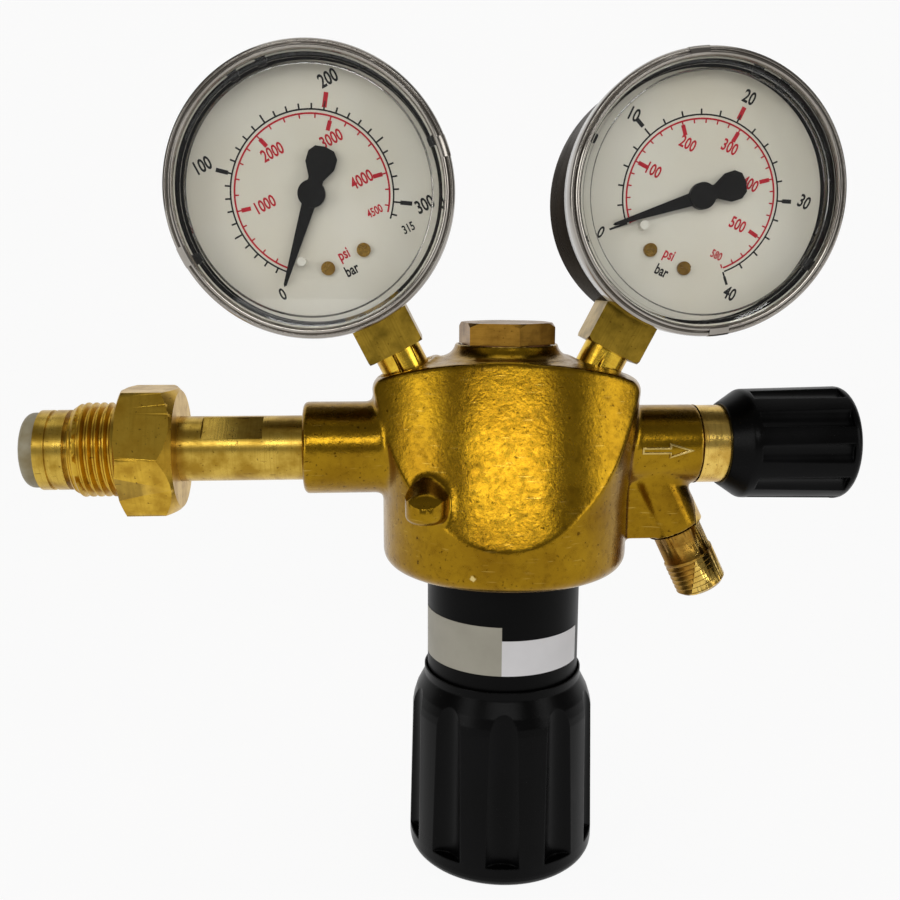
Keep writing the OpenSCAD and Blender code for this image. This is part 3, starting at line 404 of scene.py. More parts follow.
def plain(
    name, colour, second, metallic, rough, size, grain_size=0.4, depth=0.01, specular=0.5, glance="#ffffff"
):
    """A finish of one colour with a soft second tone in patches of a size, and a fine grain in its surface.

    glance is what a metal's colour is multiplied by where it is seen at a low angle.
    """
    material, tree = new_finish(name)
    where = place_node(tree, "TexCoord").outputs["Object"]
    tone = place_node(tree, "TexNoise", {"Vector": where, "Scale": spacing(size), "Detail": 4.0})
    grain = place_node(tree, "TexNoise", {"Vector": where, "Scale": spacing(grain_size), "Detail": 3.0})
    share = place_node(tree, "MapRange", {INPUT: tone, LOW: 0.35, HIGH: 0.7})
    base = place_node(tree, "Mix", {SHARE: share, FIRST: colour, SECOND: second}, data_type="RGBA")
    dull = place_node(
        tree, "MapRange", {INPUT: tone, LOW: 0.3, HIGH: 0.7, TO_LOW: rough, TO_HIGH: rough + 0.08}
    )
    coat = {
        "Base Color": base,
        "Metallic": metallic,
        "Roughness": dull,
        "Normal": place_node(tree, "Bump", {"Height": grain, "Strength": 1.0, "Distance": depth * MM}),
        "Specular IOR Level": specular,
        "Specular Tint": glance,
    }
    place_node(tree, "OutputMaterial", {"Surface": place_node(tree, "BsdfPrincipled", coat)})
    return material


# Glass-filled nylon, moulded: deep black with a faint satin sheen, a little dust, and edges that catch a
# thin light.
black_nylon, tree = new_finish("black_nylon_moulded")
where = place_node(tree, "TexCoord").outputs["Object"]
grain = place_node(tree, "TexNoise", {"Vector": where, "Scale": spacing(0.5), "Detail": 3.0})
haze = place_node(tree, "TexNoise", {"Vector": where, "Scale": spacing(16), "Detail": 4.0})
dust = place_node(tree, "TexNoise", {"Vector": where, "Scale": spacing(0.6), "Detail": 2.0})
round_edge = place_node(tree, "Bevel", {"Radius": 0.6 * MM}, samples=6)
bump = place_node(
    tree, "Bump", {"Height": grain, "Strength": 1.0, "Distance": 0.012 * MM, "Normal": round_edge}
)
share = place_node(tree, "MapRange", {INPUT: haze, LOW: 0.4, HIGH: 0.7})
base = place_node(tree, "Mix", {SHARE: share, FIRST: "#030303", SECOND: "#070708"}, data_type="RGBA")
share = place_node(tree, "MapRange", {INPUT: dust, LOW: 0.74, HIGH: 0.8, TO_HIGH: 0.4})
base = place_node(tree, "Mix", {SHARE: share, FIRST: base, SECOND: "#3c3b3a"}, data_type="RGBA")
sheen = place_node(tree, "MapRange", {INPUT: haze, LOW: 0.3, HIGH: 0.7, TO_LOW: 0.25, TO_HIGH: 0.34})
moulding = place_node(
    tree,
    "BsdfPrincipled",
    {"Base Color": base, "Roughness": sheen, "Specular IOR Level": 0.08, "Normal": bump},
)
place_node(tree, "OutputMaterial", {"Surface": moulding})

# Anodised aluminium sleeve, dyed black: an even deep black with a soft sheen.
black_sleeve = plain("black_anodised_sleeve", "#030303", "#060606", 0.0, 0.34, 12, specular=0.07)
# Polished stainless bezel: a mirror ring, a little hazy from handling, that darkens towards its steps.
bezel_steel = plain("polished_stainless_bezel", "#a39e97", "#8d877f", 1.0, 0.12, 18, 0.8, 0.004)
# Stainless case behind the bezel, drawn and left satin: greyer, with faint cloudy marks.
case_steel = plain("satin_stainless_case", "#6a655d", "#575249", 1.0, 0.22, 9, 0.4, 0.006, glance="#6a655f")
# Turned steel of the screws and spindles: plain grey metal with a slight oil film.
plain_steel = plain("turned_steel", "#a9a6a1", "#8d8984", 1.0, 0.3, 3)
# Spring wire, hard drawn and oiled: dark grey with a dull shine.
spring_wire = plain("drawn_spring_wire", "#77736d", "#5b5751", 1.0, 0.35, 2)
# Dial sheet, enamelled warm white: matt and even, a shade creamier in places.
dial_enamel = plain("dial_enamel_warm_white", "#d3cfc3", "#cbc5b5", 0.0, 0.5, 25, 0.4, 0.002, 0.3)
# Pointer, aluminium sprayed black: flat black with a faint soft shine.
pointer_paint = plain("pointer_black_paint", "#030303", "#060607", 0.0, 0.42, 5, 0.4, 0.01, 0.1)
# Stop pin of white acetal: milky and smooth.
acetal = plain("white_acetal", "#dcd9cf", "#cfcbbf", 0.0, 0.3, 4, 0.4, 0.004)
# Nose seal of natural nylon: off-white, slightly waxy, with a soft edge.
seal_nylon = plain("natural_nylon_seal", "#a39a80", "#8b7d58", 0.0, 0.42, 4, 0.6)
# Nitrile rubber: matt near-black.
nitrile = plain("nitrile_rubber", "#191817", "#242220", 0.0, 0.65, 3, 0.4, 0.02)
# Copper-fibre gasket: dull red-brown.
gasket = plain("copper_fibre_gasket", "#7a4a28", "#5c381c", 0.2, 0.55, 2, 0.3, 0.03)
# Sintered bronze filter: dull grains of about 0.3 mm, fused together.
sinter = plain("sintered_bronze", "#8d6a3a", "#5e4423", 0.9, 0.5, 0.6, 0.35, 0.12)
# Printed inks on the dials: flat colour, a little uneven in density.
black_ink = plain("dial_ink_black", "#0b0b0d", "#111114", 0.0, 0.5, 3, specular=0.2)
red_ink = plain("dial_ink_red", "#b80f26", "#a90c21", 0.0, 0.5, 3, specular=0.2)
# Bare labels: a silver film with a satin metal look, and a white paper film.
silver_film = plain("silver_label_film", "#aaa698", "#9f9b8d", 0.25, 0.42, 10, 0.4, 0.004)
white_film = plain("white_label_film", "#edecee", "#e6e5e7", 0.0, 0.4, 10, 0.4, 0.004, 0.3)
# Snap tabs of black plastic under the window's edge: seen as short dark marks round the dial.
black_tab = plain("black_plastic_tab", "#060606", "#0b0b0b", 0.0, 0.4, 2, specular=0.2)

# Clear acrylic window: sharp reflections, and light passes to the dial without a hard shadow.
window_clear, tree = new_finish("clear_acrylic_window")
where = place_node(tree, "TexCoord").outputs["Object"]
swirl = place_node(tree, "TexNoise", {"Vector": where, "Scale": spacing(20)})
share = place_node(tree, "MapRange", {INPUT: swirl, LOW: 0.3, HIGH: 0.7})
tint = place_node(tree, "Mix", {SHARE: share, FIRST: "#fbfbfa", SECOND: "#f6f7f6"}, data_type="RGBA")
acrylic = {
    "Base Color": tint,
    "Roughness": 0.02,
    "IOR": 1.49,
    "Specular IOR Level": 0.3,
    "Transmission Weight": 1.0,
}
clear = place_node(tree, "BsdfPrincipled", acrylic)
see_through = place_node(tree, "BsdfTransparent", {"Color": "#f7f7f5"})
shadow_ray = place_node(tree, "LightPath").outputs["Is Shadow Ray"]
pane = place_node(tree, "MixShader", {0: shadow_ray, 1: clear, 2: see_through})
place_node(tree, "OutputMaterial", {"Surface": pane})

# What every node of the CAD model is made of; the gauges' nodes go by the name after their side
FINISHES = {
    "body": forged_brass,
    "top_plug": milled_plug,
    "plug_gasket": gasket,
    "inlet_nipple": turned_pipe,
    "inlet_nut": turned_nut,
    "inlet_seal": seal_nylon,
    "inlet_filter": sinter,
    "valve_seat": turned_upright,
    "valve_poppet": seal_nylon,
    "poppet_spring": spring_wire,
    "diaphragm": nitrile,
    "diaphragm_plate": turned_upright,
    "spring_plate": plain_steel,
    "slip_ring": plain_steel,
    "main_spring": spring_wire,
    "spring_follower": turned_upright,
    "adjusting_screw": plain_steel,
    "thrust_washer": plain_steel,
    "bonnet": black_sleeve,
    "adjusting_knob": black_nylon,
    "knob_screw": plain_steel,
    "knob_cap": black_nylon,
    "shutoff_gland": turned_neck,
    "shutoff_spindle": plain_steel,
    "spindle_oring": nitrile,
    "shutoff_disc": turned_neck,
    "disc_seal": seal_nylon,
    "shutoff_knob": black_nylon,
    "shutoff_knob_screw": plain_steel,
    "shutoff_knob_cap": black_nylon,
    "relief_poppet": nitrile,
    "relief_spring": spring_wire,
    "relief_screw": turned_upright,
    "case": case_steel,
    "bezel": bezel_steel,
    "window": window_clear,
    "dial": dial_enamel,
    "dial_screws": screw_brass,
    "stop_pin": acetal,
    "pointer": pointer_paint,
    "pinion": plain_steel,
    "sector": stamped_brass,
    "link": stamped_brass,
    "bourdon_tube": stamped_brass,
    "movement": stamped_brass,
}
for name, obj in nodes.items():
    side, _, part = name.partition("_")
    if part == "stem":
        coat = drawn_stems[side]
    elif side in PORT_X:
        coat = FINISHES[part]
    else:
        coat = FINISHES[name]
    obj.data.materials.clear()
    obj.data.materials.append(coat)


# Forging: one skin over every boss, up to where the ends are turned

NECK_START = 48.2  # from the body's axis to the turned end of the valve boss
ARM_END = 24  # from the inlet's axis to the turned end of the outlet, along the outlet
LAP = 0.15  # the skin runs this far past the line where turning starts
SKIN_STEP = 0.5
SKIN_TRIANGLES = 185000
FACE_TURN = 7.2  # the slanted face is turned this far round the body's axis
FACE_EDGE = -22.4  # the slanted face's Y at the root of the relief valve's hood
HOOD = (-17.96, -26.96)  # the hood's axis, in the slanted face's own directions
HOOD_ROOT = -3.6  # height at which the hood leaves the face
HOOD_FALL = 0.36  # slope of its top, away from the face
HOOD_ARCH = 0.1  # drop to its sides
HOOD_BROW = 7.4  # from here on, away from the face, it falls steeply


def hood_top(x, y):
    """Height of the relief hood's sloping top, which falls from the face to its rim and to both sides."""
    ahead = FACE_EDGE - y
    brow = 1.2 * max(0, ahead - HOOD_BROW)
    return HOOD_ROOT - HOOD_FALL * ahead - HOOD_ARCH * (x - HOOD[0]) ** 2 - brow


def in_a_bore(p):
    """True inside the body's bores, whose walls stay as drilled."""
    plumb = math.hypot(p.x, p.y)
    level = math.hypot(p.y, p.z)
    in_spring_chamber = plumb < 24.8 and p.z < -12.5
    in_top_bore = plumb < 9
    in_inlet_or_valve_bore = abs(p.x) > 12 and level < 8.4
    if in_spring_chamber or in_top_bore or in_inlet_or_valve_bore:
        return True
    for side in SIDES:
        stem = gauge_place(side).inverted() @ BODY @ p
        if math.hypot(stem.x, stem.z) < 7:
            return True
    spout = OUTLET.inverted() @ BODY @ p
    return math.hypot(spout.x, spout.y) < 3.2


outlet_way = OUTLET.to_3x3() @ Vector((0, 0, 1))
forging = copy_node("body")
cut_off(forging, Vector((AXIS_X + NECK_START + LAP, 0, 0)) * MM, Vector((1, 0, 0)))
cut_off(forging, METRES @ (OUTLET @ Vector((0, 0, ARM_END + LAP))), outlet_way)
modify(forging, "REMESH", mode="VOXEL", voxel_size=SKIN_STEP * MM, use_smooth_shade=True)

face_turn = Matrix.Rotation(math.radians(FACE_TURN), 3, "Z")
to_body = BODY.inverted() @ MILLIMETRES
for vertex in forging.data.vertices:
    p = face_turn @ (to_body @ vertex.co)
    on_hood = math.hypot(p.x - HOOD[0], p.y - HOOD[1]) < 5.3 and p.y < FACE_EDGE + 0.2
    if on_hood and hood_top(p.x, p.y) < p.z < -3:
        p.z = hood_top(p.x, p.y)
        vertex.co = METRES @ (BODY @ (face_turn.transposed() @ p))
modify(forging, "SMOOTH", factor=0.5, iterations=3)

# Rounded roots where the bosses meet the body: a much smoother copy shows where the corners are hollow
softened = forging.copy()
softened.data = forging.data.copy()
bpy.context.scene.collection.objects.link(softened)
modify(softened, "SMOOTH", factor=0.6, iterations=34)
for vertex, soft in zip(forging.data.vertices, softened.data.vertices):
    step = soft.co - vertex.co
    if step.dot(vertex.normal) > 0.02 * MM and not in_a_bore(to_body @ vertex.co):
        vertex.co = soft.co
bpy.data.objects.remove(softened)
modify(forging, "SMOOTH", factor=0.5, iterations=2)
triangles = sum(len(face.vertices) - 2 for face in forging.data.polygons)
modify(forging, "DECIMATE", ratio=min(1.0, SKIN_TRIANGLES / triangles))
piece(forging, "forging", "regulator", forged_brass, smooth=60)

# Turned ends of the two bosses, with the outlet's thread
BARREL_CLEAR = 36  # past the barrel's side, which the outlet's cutting plane doesn't clear
valve_neck = copy_node("body")
cut_off(valve_neck, Vector((AXIS_X + NECK_START, 0, 0)) * MM, Vector((-1, 0, 0)))
piece(valve_neck, "valve_neck", "regulator", turned_neck, smooth=35)
outlet_end = copy_node("body")
cut_off(outlet_end, METRES @ (OUTLET @ Vector((0, 0, ARM_END))), -outlet_way)
cut_off(outlet_end, Vector((AXIS_X + BARREL_CLEAR, 0, 0)) * MM, Vector((-1, 0, 0)))
cut_thread(outlet_end, OUTLET, start=32.2, turns=8, pitch=1.337, outside=6.5785, depth=0.8)
piece(outlet_end, "outlet_end", "regulator", turned_outlet, smooth=35)
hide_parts("body")

# Union nut with its thread
nut = copy_node("inlet_nut")
cut_thread(nut, ALONG_X, start=-2.6, turns=6.4, pitch=1.814, outside=11.456, depth=1.1)
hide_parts("inlet_nut")
piece(nut, "union_nut", "inlet_union", turned_nut, smooth=20)


BOSS_R = 9.85


def flow_arrow():
    """The raised outline of an arrow on the valve boss, in the direction of flow."""
    tail, neck, tip = 32.5, 39.3, 45.5
    shaft, barb = 0.8, 1.9
    upper = [(tail, shaft), (neck, shaft), (neck, barb), (tip, 0)]
    lower = [(neck, -barb), (neck, -shaft), (tail, -shaft)]
    outline = upper + lower
    deselect()
    bpy.ops.mesh.primitive_circle_add(vertices=len(outline), radius=1, fill_type="NGON", location=NOWHERE)
    arrow = bpy.context.object
    for vertex, (x, z) in zip(arrow.data.vertices, outline):
        vertex.co = Vector((x, z, 0))
    open_up(arrow)
    bpy.ops.mesh.inset(thickness=0.42, use_even_offset=True)
    bpy.ops.mesh.delete(type="FACE")
    bpy.ops.mesh.select_all(action="SELECT")
    bpy.ops.mesh.subdivide(number_cuts=5)
    bpy.ops.mesh.select_all(action="SELECT")
    bpy.ops.mesh.extrude_region_move(TRANSFORM_OT_translate={"value": (0, 0, 0.55)})
    bpy.ops.mesh.select_all(action="SELECT")
    bpy.ops.mesh.normals_make_consistent(inside=False)
    close_up()
    # Wrapped on the front of the boss, and sunk into it a little
    for vertex in arrow.data.vertices:
        x, z, lift = vertex.co
        vertex.co = Vector((x, -math.sqrt((BOSS_R + lift) ** 2 - z * z) + 0.1, z))
    modify(arrow, "BEVEL", width=0.12, segments=2, limit_method="ANGLE")
    piece(arrow, "flow_arrow", "regulator", forged_brass, BODY, smooth=40)
    face_outward(arrow)


flow_arrow()

# Gauge stems: a drawn square, and a bright turned neck below it

NECK_TOP = -40.95

for side in SIDES:
    stem = copy_node(side + "_stem")
    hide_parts(side + "_stem")
    piece(stem, side + "_stem_bar", "regulator", drawn_stems[side], smooth=14)
    stem.data.materials.append(turned_stems[side])
    back = gauge_place(side).inverted() @ MILLIMETRES
    for face in stem.data.polygons:
        if (back @ face.center).y < NECK_TOP:
            face.material_index = 1

# Gauge rims: a rolled bezel with its bead and groove, its two crimped joints, and the window's snap tabs

BEZEL_R = 32.2
SEAT_R = 31.7  # inside of the bezel, where it holds the case and the window
LIP_R = 29.8
JOINT_HALF = 4.2
JOINTS = {"high": (98.4, 270.4), "low": (-34.0, 146.2)}
TABS = (-6.0, 7.3, 94.4, 267.8)


def rolled_bezel(side):
    """The bezel's section, drawn as a chain of points and turned round the gauge."""
    wall = [(SEAT_R, 11.0), (BEZEL_R, 11.0), (BEZEL_R, 16.3), (32.0, 17.0)]
    groove = [(31.55, 17.4), (31.25, 17.4), (31.1, 17.15), (30.95, 17.2)]
    bead = [(30.8, 17.75), (30.4, 18.0), (30.0, 17.85)]
    lip = [(LIP_R, 17.4), (LIP_R, 15.35), (SEAT_R, 15.35)]
    ring = chain(wall + groove + bead + lip)
    modify(
        ring,
        "SCREW",
        angle=2 * math.pi,
        screw_offset=0,
        steps=160,
        render_steps=160,
        use_merge_vertices=True,
        merge_threshold=0.001,
    )
    open_up(ring)
    bpy.ops.mesh.remove_doubles(threshold=0.001)
    bpy.ops.mesh.normals_make_consistent(inside=False)
    close_up()
    modify(ring, "BEVEL", width=0.18, segments=2, limit_method="ANGLE", angle_limit=math.radians(35))
    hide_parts(side + "_bezel")
    piece(ring, side + "_rolled_bezel", "regulator", bezel_steel, gauge_place(side), smooth=30)


def bezel_joint(side, name, clockwise):
    """A crimped joint: a short plate, a little proud, that follows the bezel's section."""
    wall = [(32.3, 11.4), (32.3, 16.3), (32.1, 17.1)]
    front = [(31.6, 17.55), (30.9, 17.95), (30.4, 18.1), (29.95, 17.9)]
    section = wall + front
    rows = len(section) - 1
    deselect()
    bpy.ops.mesh.primitive_grid_add(x_subdivisions=8, y_subdivisions=rows, size=1, location=NOWHERE)
    plate = bpy.context.object
    for vertex in plate.data.vertices:
        r, z = section[round((vertex.co.y + 0.5) * rows)]
        x, y = on_dial(r, clockwise + 2 * JOINT_HALF * vertex.co.x)
        vertex.co = Vector((x, y, z))
    face_outward(plate)
    first = plate.data.polygons[0]
    outward = first.normal.dot(first.center) > 0
    modify(plate, "SOLIDIFY", thickness=0.14, offset=-1 if outward else 1)
    piece(plate, side + "_" + name, "regulator", bezel_steel, gauge_place(side), smooth=40)


def snap_tab(side, name, clockwise):
    """A tab that holds the window, moulded with sloping ends."""
    deselect()
    bpy.ops.mesh.primitive_cube_add(size=1, location=NOWHERE)
    tab = bpy.context.object
    open_up(tab)
    bpy.ops.transform.resize(value=(3.0, 1.5, 1.0))
    select_faces(tab, lambda centre, normal: normal.y < -0.5)
    bpy.ops.transform.resize(value=(0.62, 1, 1))
    bpy.ops.mesh.select_all(action="SELECT")
    bpy.ops.mesh.bevel(offset=0.15, segments=2, affect="EDGES")
    close_up()
    place = gauge_place(side) @ turned(-clockwise, "Z") @ at(0, 29.1, 13.5)
    piece(tab, side + "_" + name, "regulator", black_tab, place, smooth=40)


for side in SIDES:
    rolled_bezel(side)
    for count, clockwise in enumerate(JOINTS[side], 1):
        bezel_joint(side, "bezel_joint_" + str(count), clockwise)
    for count, clockwise in enumerate(TABS, 1):
        snap_tab(side, "snap_tab_" + str(count), clockwise)


# Dial prints: the marks and the words of each colour are a sheet each

DIAL_FRONT = 9.9
INK_Z = DIAL_FRONT + 0.03
ZERO_AT = 225  # clockwise from the top, where the scale starts
SWEEP = 270
PSI = 14.504  # to one bar
BAR_R = 18.4
PSI_R = 17.5
CAP_SHARE = 0.72  # of a letter's size is the height of a capital
CONDENSED = 0.7


def ink_arc(radius, width, start, stop):
    """A thin arc of ink on a dial, left in edit mode: the object that the marks are added to."""
    inside = radius - width / 2
    deselect()
    bpy.ops.mesh.primitive_circle_add(vertices=180, radius=inside, fill_type="NOTHING", location=NOWHERE)
    ink = bpy.context.object
    open_up(ink)
    grow = (radius + width / 2) / inside
    bpy.ops.mesh.extrude_edges_indiv()
    bpy.ops.transform.resize(value=(grow, grow, 1))

    def outside(centre, normal):
        angle = math.degrees(math.atan2(centre.x, centre.y)) % 360
        return not (start <= angle or angle <= stop - 360)

    select_faces(ink, outside)
    bpy.ops.mesh.delete(type="FACE")
    bpy.ops.mesh.select_all(action="SELECT")
    bpy.ops.transform.translate(value=(0, 0, INK_Z))
    return ink


def ink_mark(clockwise, inner, outer, width):
    """A radial mark, added in edit mode."""
    bpy.ops.mesh.primitive_plane_add(size=1, location=(0, 0, INK_Z))
    bpy.ops.transform.resize(value=(width, outer - inner, 1))
    bpy.ops.transform.translate(value=(0, (inner + outer) / 2, 0))
    bpy.ops.transform.rotate(value=math.radians(clockwise), orient_axis="Z", center_override=NOWHERE)


def ink_words(words):
    """Numbers and unit names, each upright on the dial, joined to one sheet."""
    sheets = []
    for text, x, y, height in words:
        deselect()
        bpy.ops.object.text_add(location=(x, y, INK_Z))
        obj = bpy.context.object
        obj.data.body = text
        obj.data.align_x = "CENTER"
        obj.data.align_y = "CENTER"
        obj.data.size = height / CAP_SHARE
        obj.data.offset = 0.036 * height
        obj.data.resolution_u = 3
        obj.scale = (CONDENSED, 1, 1)
        bpy.ops.object.convert(target="MESH")
        sheets.append(bpy.context.object)
    deselect()
    for obj in sheets:
        obj.select_set(True)
    bpy.context.view_layer.objects.active = sheets[0]
    bpy.ops.object.join()
    sheet = bpy.context.object
    pick(sheet)
    bpy.ops.object.transform_apply(location=True, rotation=True, scale=True)
    return sheet


def value_angle(value, full):
    return ZERO_AT + SWEEP * value / full


def number(text, radius, clockwise, height=2.7):
    x, y = on_dial(radius, clockwise)
    return (text, x, y, height)


# bar, psi: the end of the scale, the step of its marks and of its long marks.
# broad_bar, broad_psi, red_bar: the value, inner radius, outer radius and width of the heavier marks.
# bar_words, psi_words: numbers with the radius and angle of their middle, and the names of the units.
DIALS = {
    "high": {
        "tilt": 0,
        "bar": (315, 10, 50),
        "psi": (4500, 200, 1000),
        "broad_bar": [(100, 19.3, 22.1, 0.95), (300, 20.0, 22.7, 0.95), (0, BAR_R, 21.5, 0.5)],
        "broad_psi": [(value, 14.3, 16.5, 0.95) for value in (1000, 2000, 3000, 4000)],
        "red_bar": (200, 19.0, 22.3, 1.05),
        "bar_words": [
            number("100", 25.2, value_angle(100, 315), 3.0),
            number("200", 25.2, value_angle(200, 315), 3.0),
            number("300", 25.6, value_angle(300, 315), 3.0),
            number("0", 23.7, ZERO_AT, 2.8),
            number("315", 23.0, 136, 2.0),
            ("bar", 0.0, -19.0, 2.5),
        ],
        "psi_words": [
            number("1000", 11.1, value_angle(1000 / PSI, 315)),
            number("2000", 12.5, value_angle(2000 / PSI, 315)),
            number("3000", 12.8, 48),
            number("4000", 11.7, value_angle(4000 / PSI, 315)),
            number("4500", 14.6, 132, 1.9),
            ("psi", 0.0, -15.0, 2.5),
        ],
    },
    "low": {
        "tilt": 2,
        "bar": (40, 2, 10),
        "psi": (580, 20, 100),
        "broad_bar": [
            (10, 21.0, 23.1, 0.95),
            (30, 19.6, 21.8, 0.95),
            (40, 19.6, 21.6, 0.6),
            (0, BAR_R, 22.6, 0.5),
        ],
        "broad_psi": [(value, 14.3, 16.7, 0.95) for value in (100, 200, 300, 400, 500)],
        "red_bar": (20, 19.2, 22.2, 1.05),
        "bar_words": [
            number("10", 24.5, value_angle(10, 40), 3.0),
            number("20", 24.5, value_angle(20, 40), 3.0),
            number("30", 24.9, value_angle(30, 40), 3.0),
            number("40", 23.9, 135, 3.0),
            number("0", 24.8, ZERO_AT, 2.8),
            ("bar", -0.4, -19.2, 2.5),
        ],
        "psi_words": [
            number("100", 12.9, value_angle(100 / PSI, 40)),
            number("200", 12.3, value_angle(200 / PSI, 40)),
            number("300", 12.8, value_angle(300 / PSI, 40)),
            number("400", 12.0, value_angle(400 / PSI, 40)),
            number("500", 11.2, 99.8),
            number("580", 14.2, 136.5, 1.9),
            ("psi", -0.5, -15.0, 2.5),
        ],
    },
}

for side in SIDES:
    dial = DIALS[side]
    place = gauge_place(side) @ turned(dial["tilt"], "Z")
    full, step, long_step = dial["bar"]
    ink = ink_arc(BAR_R, 0.38, ZERO_AT, ZERO_AT + SWEEP)
    for i in range(int(full / step) + 1):
        outer = 20.4 if i * step % long_step == 0 else 19.7
        ink_mark(value_angle(i * step, full), BAR_R, outer, 0.4)
    for value, inner, outer, width in dial["broad_bar"]:
        ink_mark(value_angle(value, full), inner, outer, width)
    close_up()
    piece(ink, side + "_bar_scale", "regulator", black_ink, place)
    psi_full, step, long_step = dial["psi"]
    ink = ink_arc(PSI_R, 0.42, ZERO_AT, value_angle(psi_full / PSI, full))
    for i in range(int(psi_full / step) + 1):
        inner = 15.9 if i * step % long_step == 0 else 16.5
        ink_mark(value_angle(i * step / PSI, full), inner, PSI_R, 0.34)
    for value, inner, outer, width in dial["broad_psi"]:
        ink_mark(value_angle(value / PSI, full), inner, outer, width)
    close_up()
    piece(ink, side + "_psi_scale", "regulator", red_ink, place)
    piece(ink_words(dial["bar_words"]), side + "_bar_numbers", "regulator", black_ink, place)
    piece(ink_words(dial["psi_words"]), side + "_psi_numbers", "regulator", red_ink, place)
    # The broad red mark at the filling pressure, alone on its sheet
    value, inner, outer, width = dial["red_bar"]
    deselect()
    bpy.ops.mesh.primitive_plane_add(size=1, location=NOWHERE)
    ink = bpy.context.object
    open_up(ink)
    bpy.ops.mesh.delete(type="VERT")
    ink_mark(value_angle(value, full), inner, outer, width)
    close_up()
    piece(ink, side + "_red_mark", "regulator", red_ink, place)


# Labels on the sleeve, left bare

LABEL_R = 19.47
LABEL_FOOT = -53.3


def sleeve_label(name, film, start, stop, top):
    """A thin film wrapped on the sleeve, between two angles from the front."""
    width = math.radians(stop - start) * LABEL_R
    deselect()
    bpy.ops.mesh.primitive_grid_add(x_subdivisions=40, y_subdivisions=2, size=1, location=NOWHERE)
    label = bpy.context.object
    open_up(label)
    bpy.ops.transform.resize(value=(width, top - LABEL_FOOT, 1))
    close_up()
    for vertex in label.data.vertices:
        angle = math.radians((start + stop) / 2) + vertex.co.x / LABEL_R
        height = vertex.co.y + (LABEL_FOOT + top) / 2
        vertex.co = Vector((LABEL_R * math.sin(angle), -LABEL_R * math.cos(angle), height))
    modify(label, "SOLIDIFY", thickness=0.06, offset=-1)
    piece(label, name, "regulator", film, BODY, smooth=40)


sleeve_label("silver_label", silver_film, -88, -8, -41.0)
sleeve_label("white_label", white_film, -8, 62, -44.4)


# Studio: one pale sheet that runs from the floor up behind the object

deselect()
bpy.ops.mesh.primitive_plane_add(size=1, location=(0.1, -0.4, 0))
sheet = bpy.context.object
open_up(sheet)
bpy.ops.transform.resize(value=(6, 3.2, 1))
select_edges(sheet, lambda a, b: a.y > 0 and b.y > 0)
bpy.ops.mesh.extrude_region_move(TRANSFORM_OT_translate={"value": (0, 0, 2.4)})
select_edges(sheet, lambda a, b: a.y > 0 and b.y > 0 and a.z < 0.1 and b.z < 0.1)
bpy.ops.mesh.bevel(offset=0.6, segments=16, affect="EDGES")
close_up()
sheet.name = "studio_sheet"
bpy.context.view_layer.update()
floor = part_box("adjusting_knob")[0].z - 0.2 * MM
sheet.data.transform(at(0, 0, floor) @ sheet.matrix_world)
sheet.matrix_world = Matrix()
pick(sheet)
bpy.ops.object.shade_smooth_by_angle(angle=math.radians(40))
# Matt white paper: it shows as plain white, with the object's soft shadow near it.
paper, tree = new_finish("studio_paper")
where = place_node(tree, "TexCoord").outputs["Object"]
fibre = place_node(tree, "TexNoise", {"Vector": where, "Scale": spacing(30), "Detail": 3.0})
share = place_node(tree, "MapRange", {INPUT: fibre, LOW: 0.4, HIGH: 0.6})
tone = place_node(tree, "Mix", {SHARE: share, FIRST: "#f8f7f5", SECOND: "#f5f4f2"}, data_type="RGBA")
matt = place_node(tree, "BsdfDiffuse", {"Color": tone})
ray = place_node(tree, "LightPath")
seen = ray.outputs["Is Camera Ray"]
for other in ("Is Glossy Ray", "Is Transmission Ray"):
    seen = place_node(tree, "Math", {0: seen, 1: ray.outputs[other]}, operation="MAXIMUM")
white_share = place_node(tree, "Math", {0: seen, 1: 0.93}, operation="MULTIPLY")
white = place_node(tree, "Emission", {"Color": "#ffffff", "Strength": 1.0})
surface = place_node(tree, "MixShader", {0: white_share, 1: matt, 2: white})
place_node(tree, "OutputMaterial", {"Surface": surface})
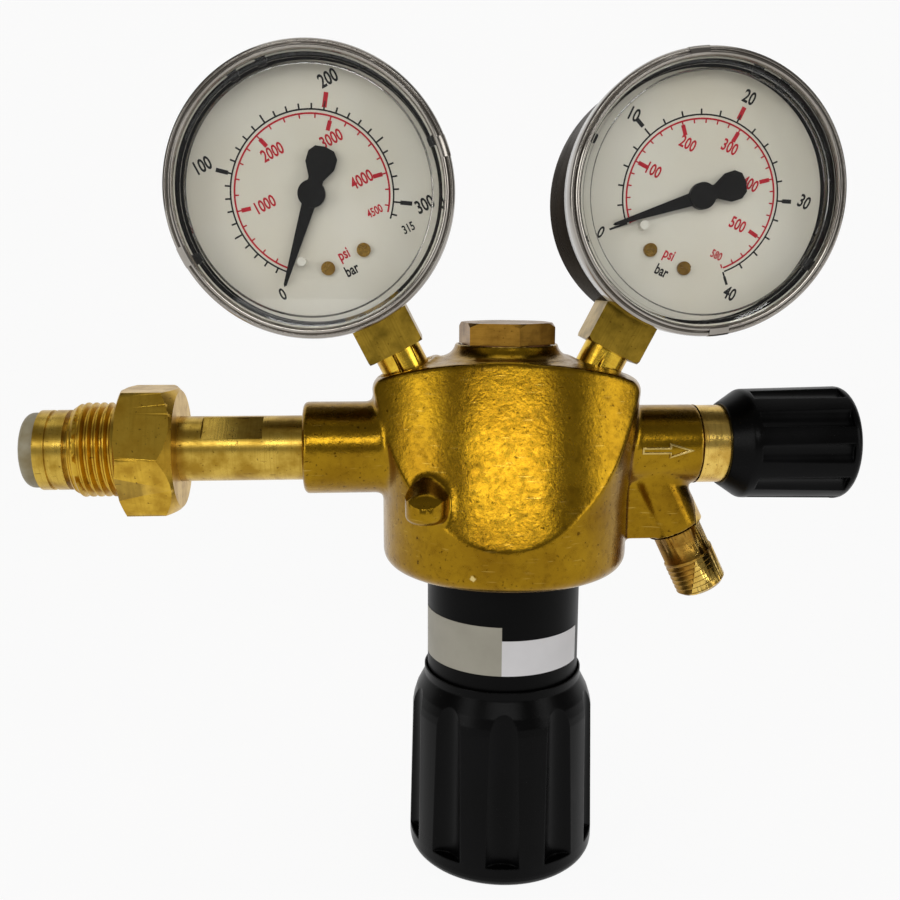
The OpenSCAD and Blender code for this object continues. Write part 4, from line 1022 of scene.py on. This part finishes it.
sheet.data.materials.clear()
sheet.data.materials.append(paper)

world = bpy.data.worlds.new("studio")
bpy.context.scene.world = world
world.use_nodes = True
world.node_tree.nodes.clear()
ambient = place_node(world.node_tree, "Background", {"Color": "#c4c2c0", "Strength": 0.34})
place_node(world.node_tree, "OutputWorld", {"Surface": ambient})


CENTRE = Vector((0.1, 0, 0))


def soft_box(name, place, width, height, brightness):
    """A soft light panel of one brightness, aimed at the object."""
    lamp = bpy.data.lights.new(name, "AREA")
    lamp.shape = "RECTANGLE"
    lamp.size = width
    lamp.size_y = height
    lamp.energy = brightness * math.pi * width * height
    obj = bpy.data.objects.new(name, lamp)
    bpy.context.scene.collection.objects.link(obj)
    way = CENTRE - Vector(place)
    obj.matrix_world = Matrix.Translation(place) @ way.to_track_quat("-Z", "Y").to_matrix().to_4x4()


soft_box("front_panel", (0.0, -1.3, 0.65), 1.0, 0.15, 8.0)
soft_box("left_panel", (-1.1, -0.9, 0.35), 0.5, 0.8, 3.2)
soft_box("right_panel", (1.3, -0.9, 0.35), 0.5, 0.8, 2.8)
soft_box("top_panel", (0.1, 0.1, 1.3), 1.2, 0.6, 0.8)

# Camera, at the photograph's angle

camera_data = bpy.data.cameras.new("camera")
camera_data.lens = 39.25
camera_data.sensor_width = 36
camera_data.clip_start = 0.01
camera_data.clip_end = 20
camera = bpy.data.objects.new("camera", camera_data)
bpy.context.scene.collection.objects.link(camera)
yaw, pitch, roll = (math.radians(a) for a in (4.58, 10.12, 0.21))
forward = Vector((math.sin(yaw) * math.cos(pitch), math.cos(yaw) * math.cos(pitch), -math.sin(pitch)))
level = Vector((math.cos(yaw), -math.sin(yaw), 0))
upward = level.cross(forward)
right = math.cos(roll) * level + math.sin(roll) * upward
up = -math.sin(roll) * level + math.cos(roll) * upward
stand = Matrix.Translation((0.06944, -0.24120, 0.04216))
camera.matrix_world = stand @ Matrix((right, up, -forward)).transposed().to_4x4()
bpy.context.scene.camera = camera
bpy.context.scene.view_settings.view_transform = "Standard"
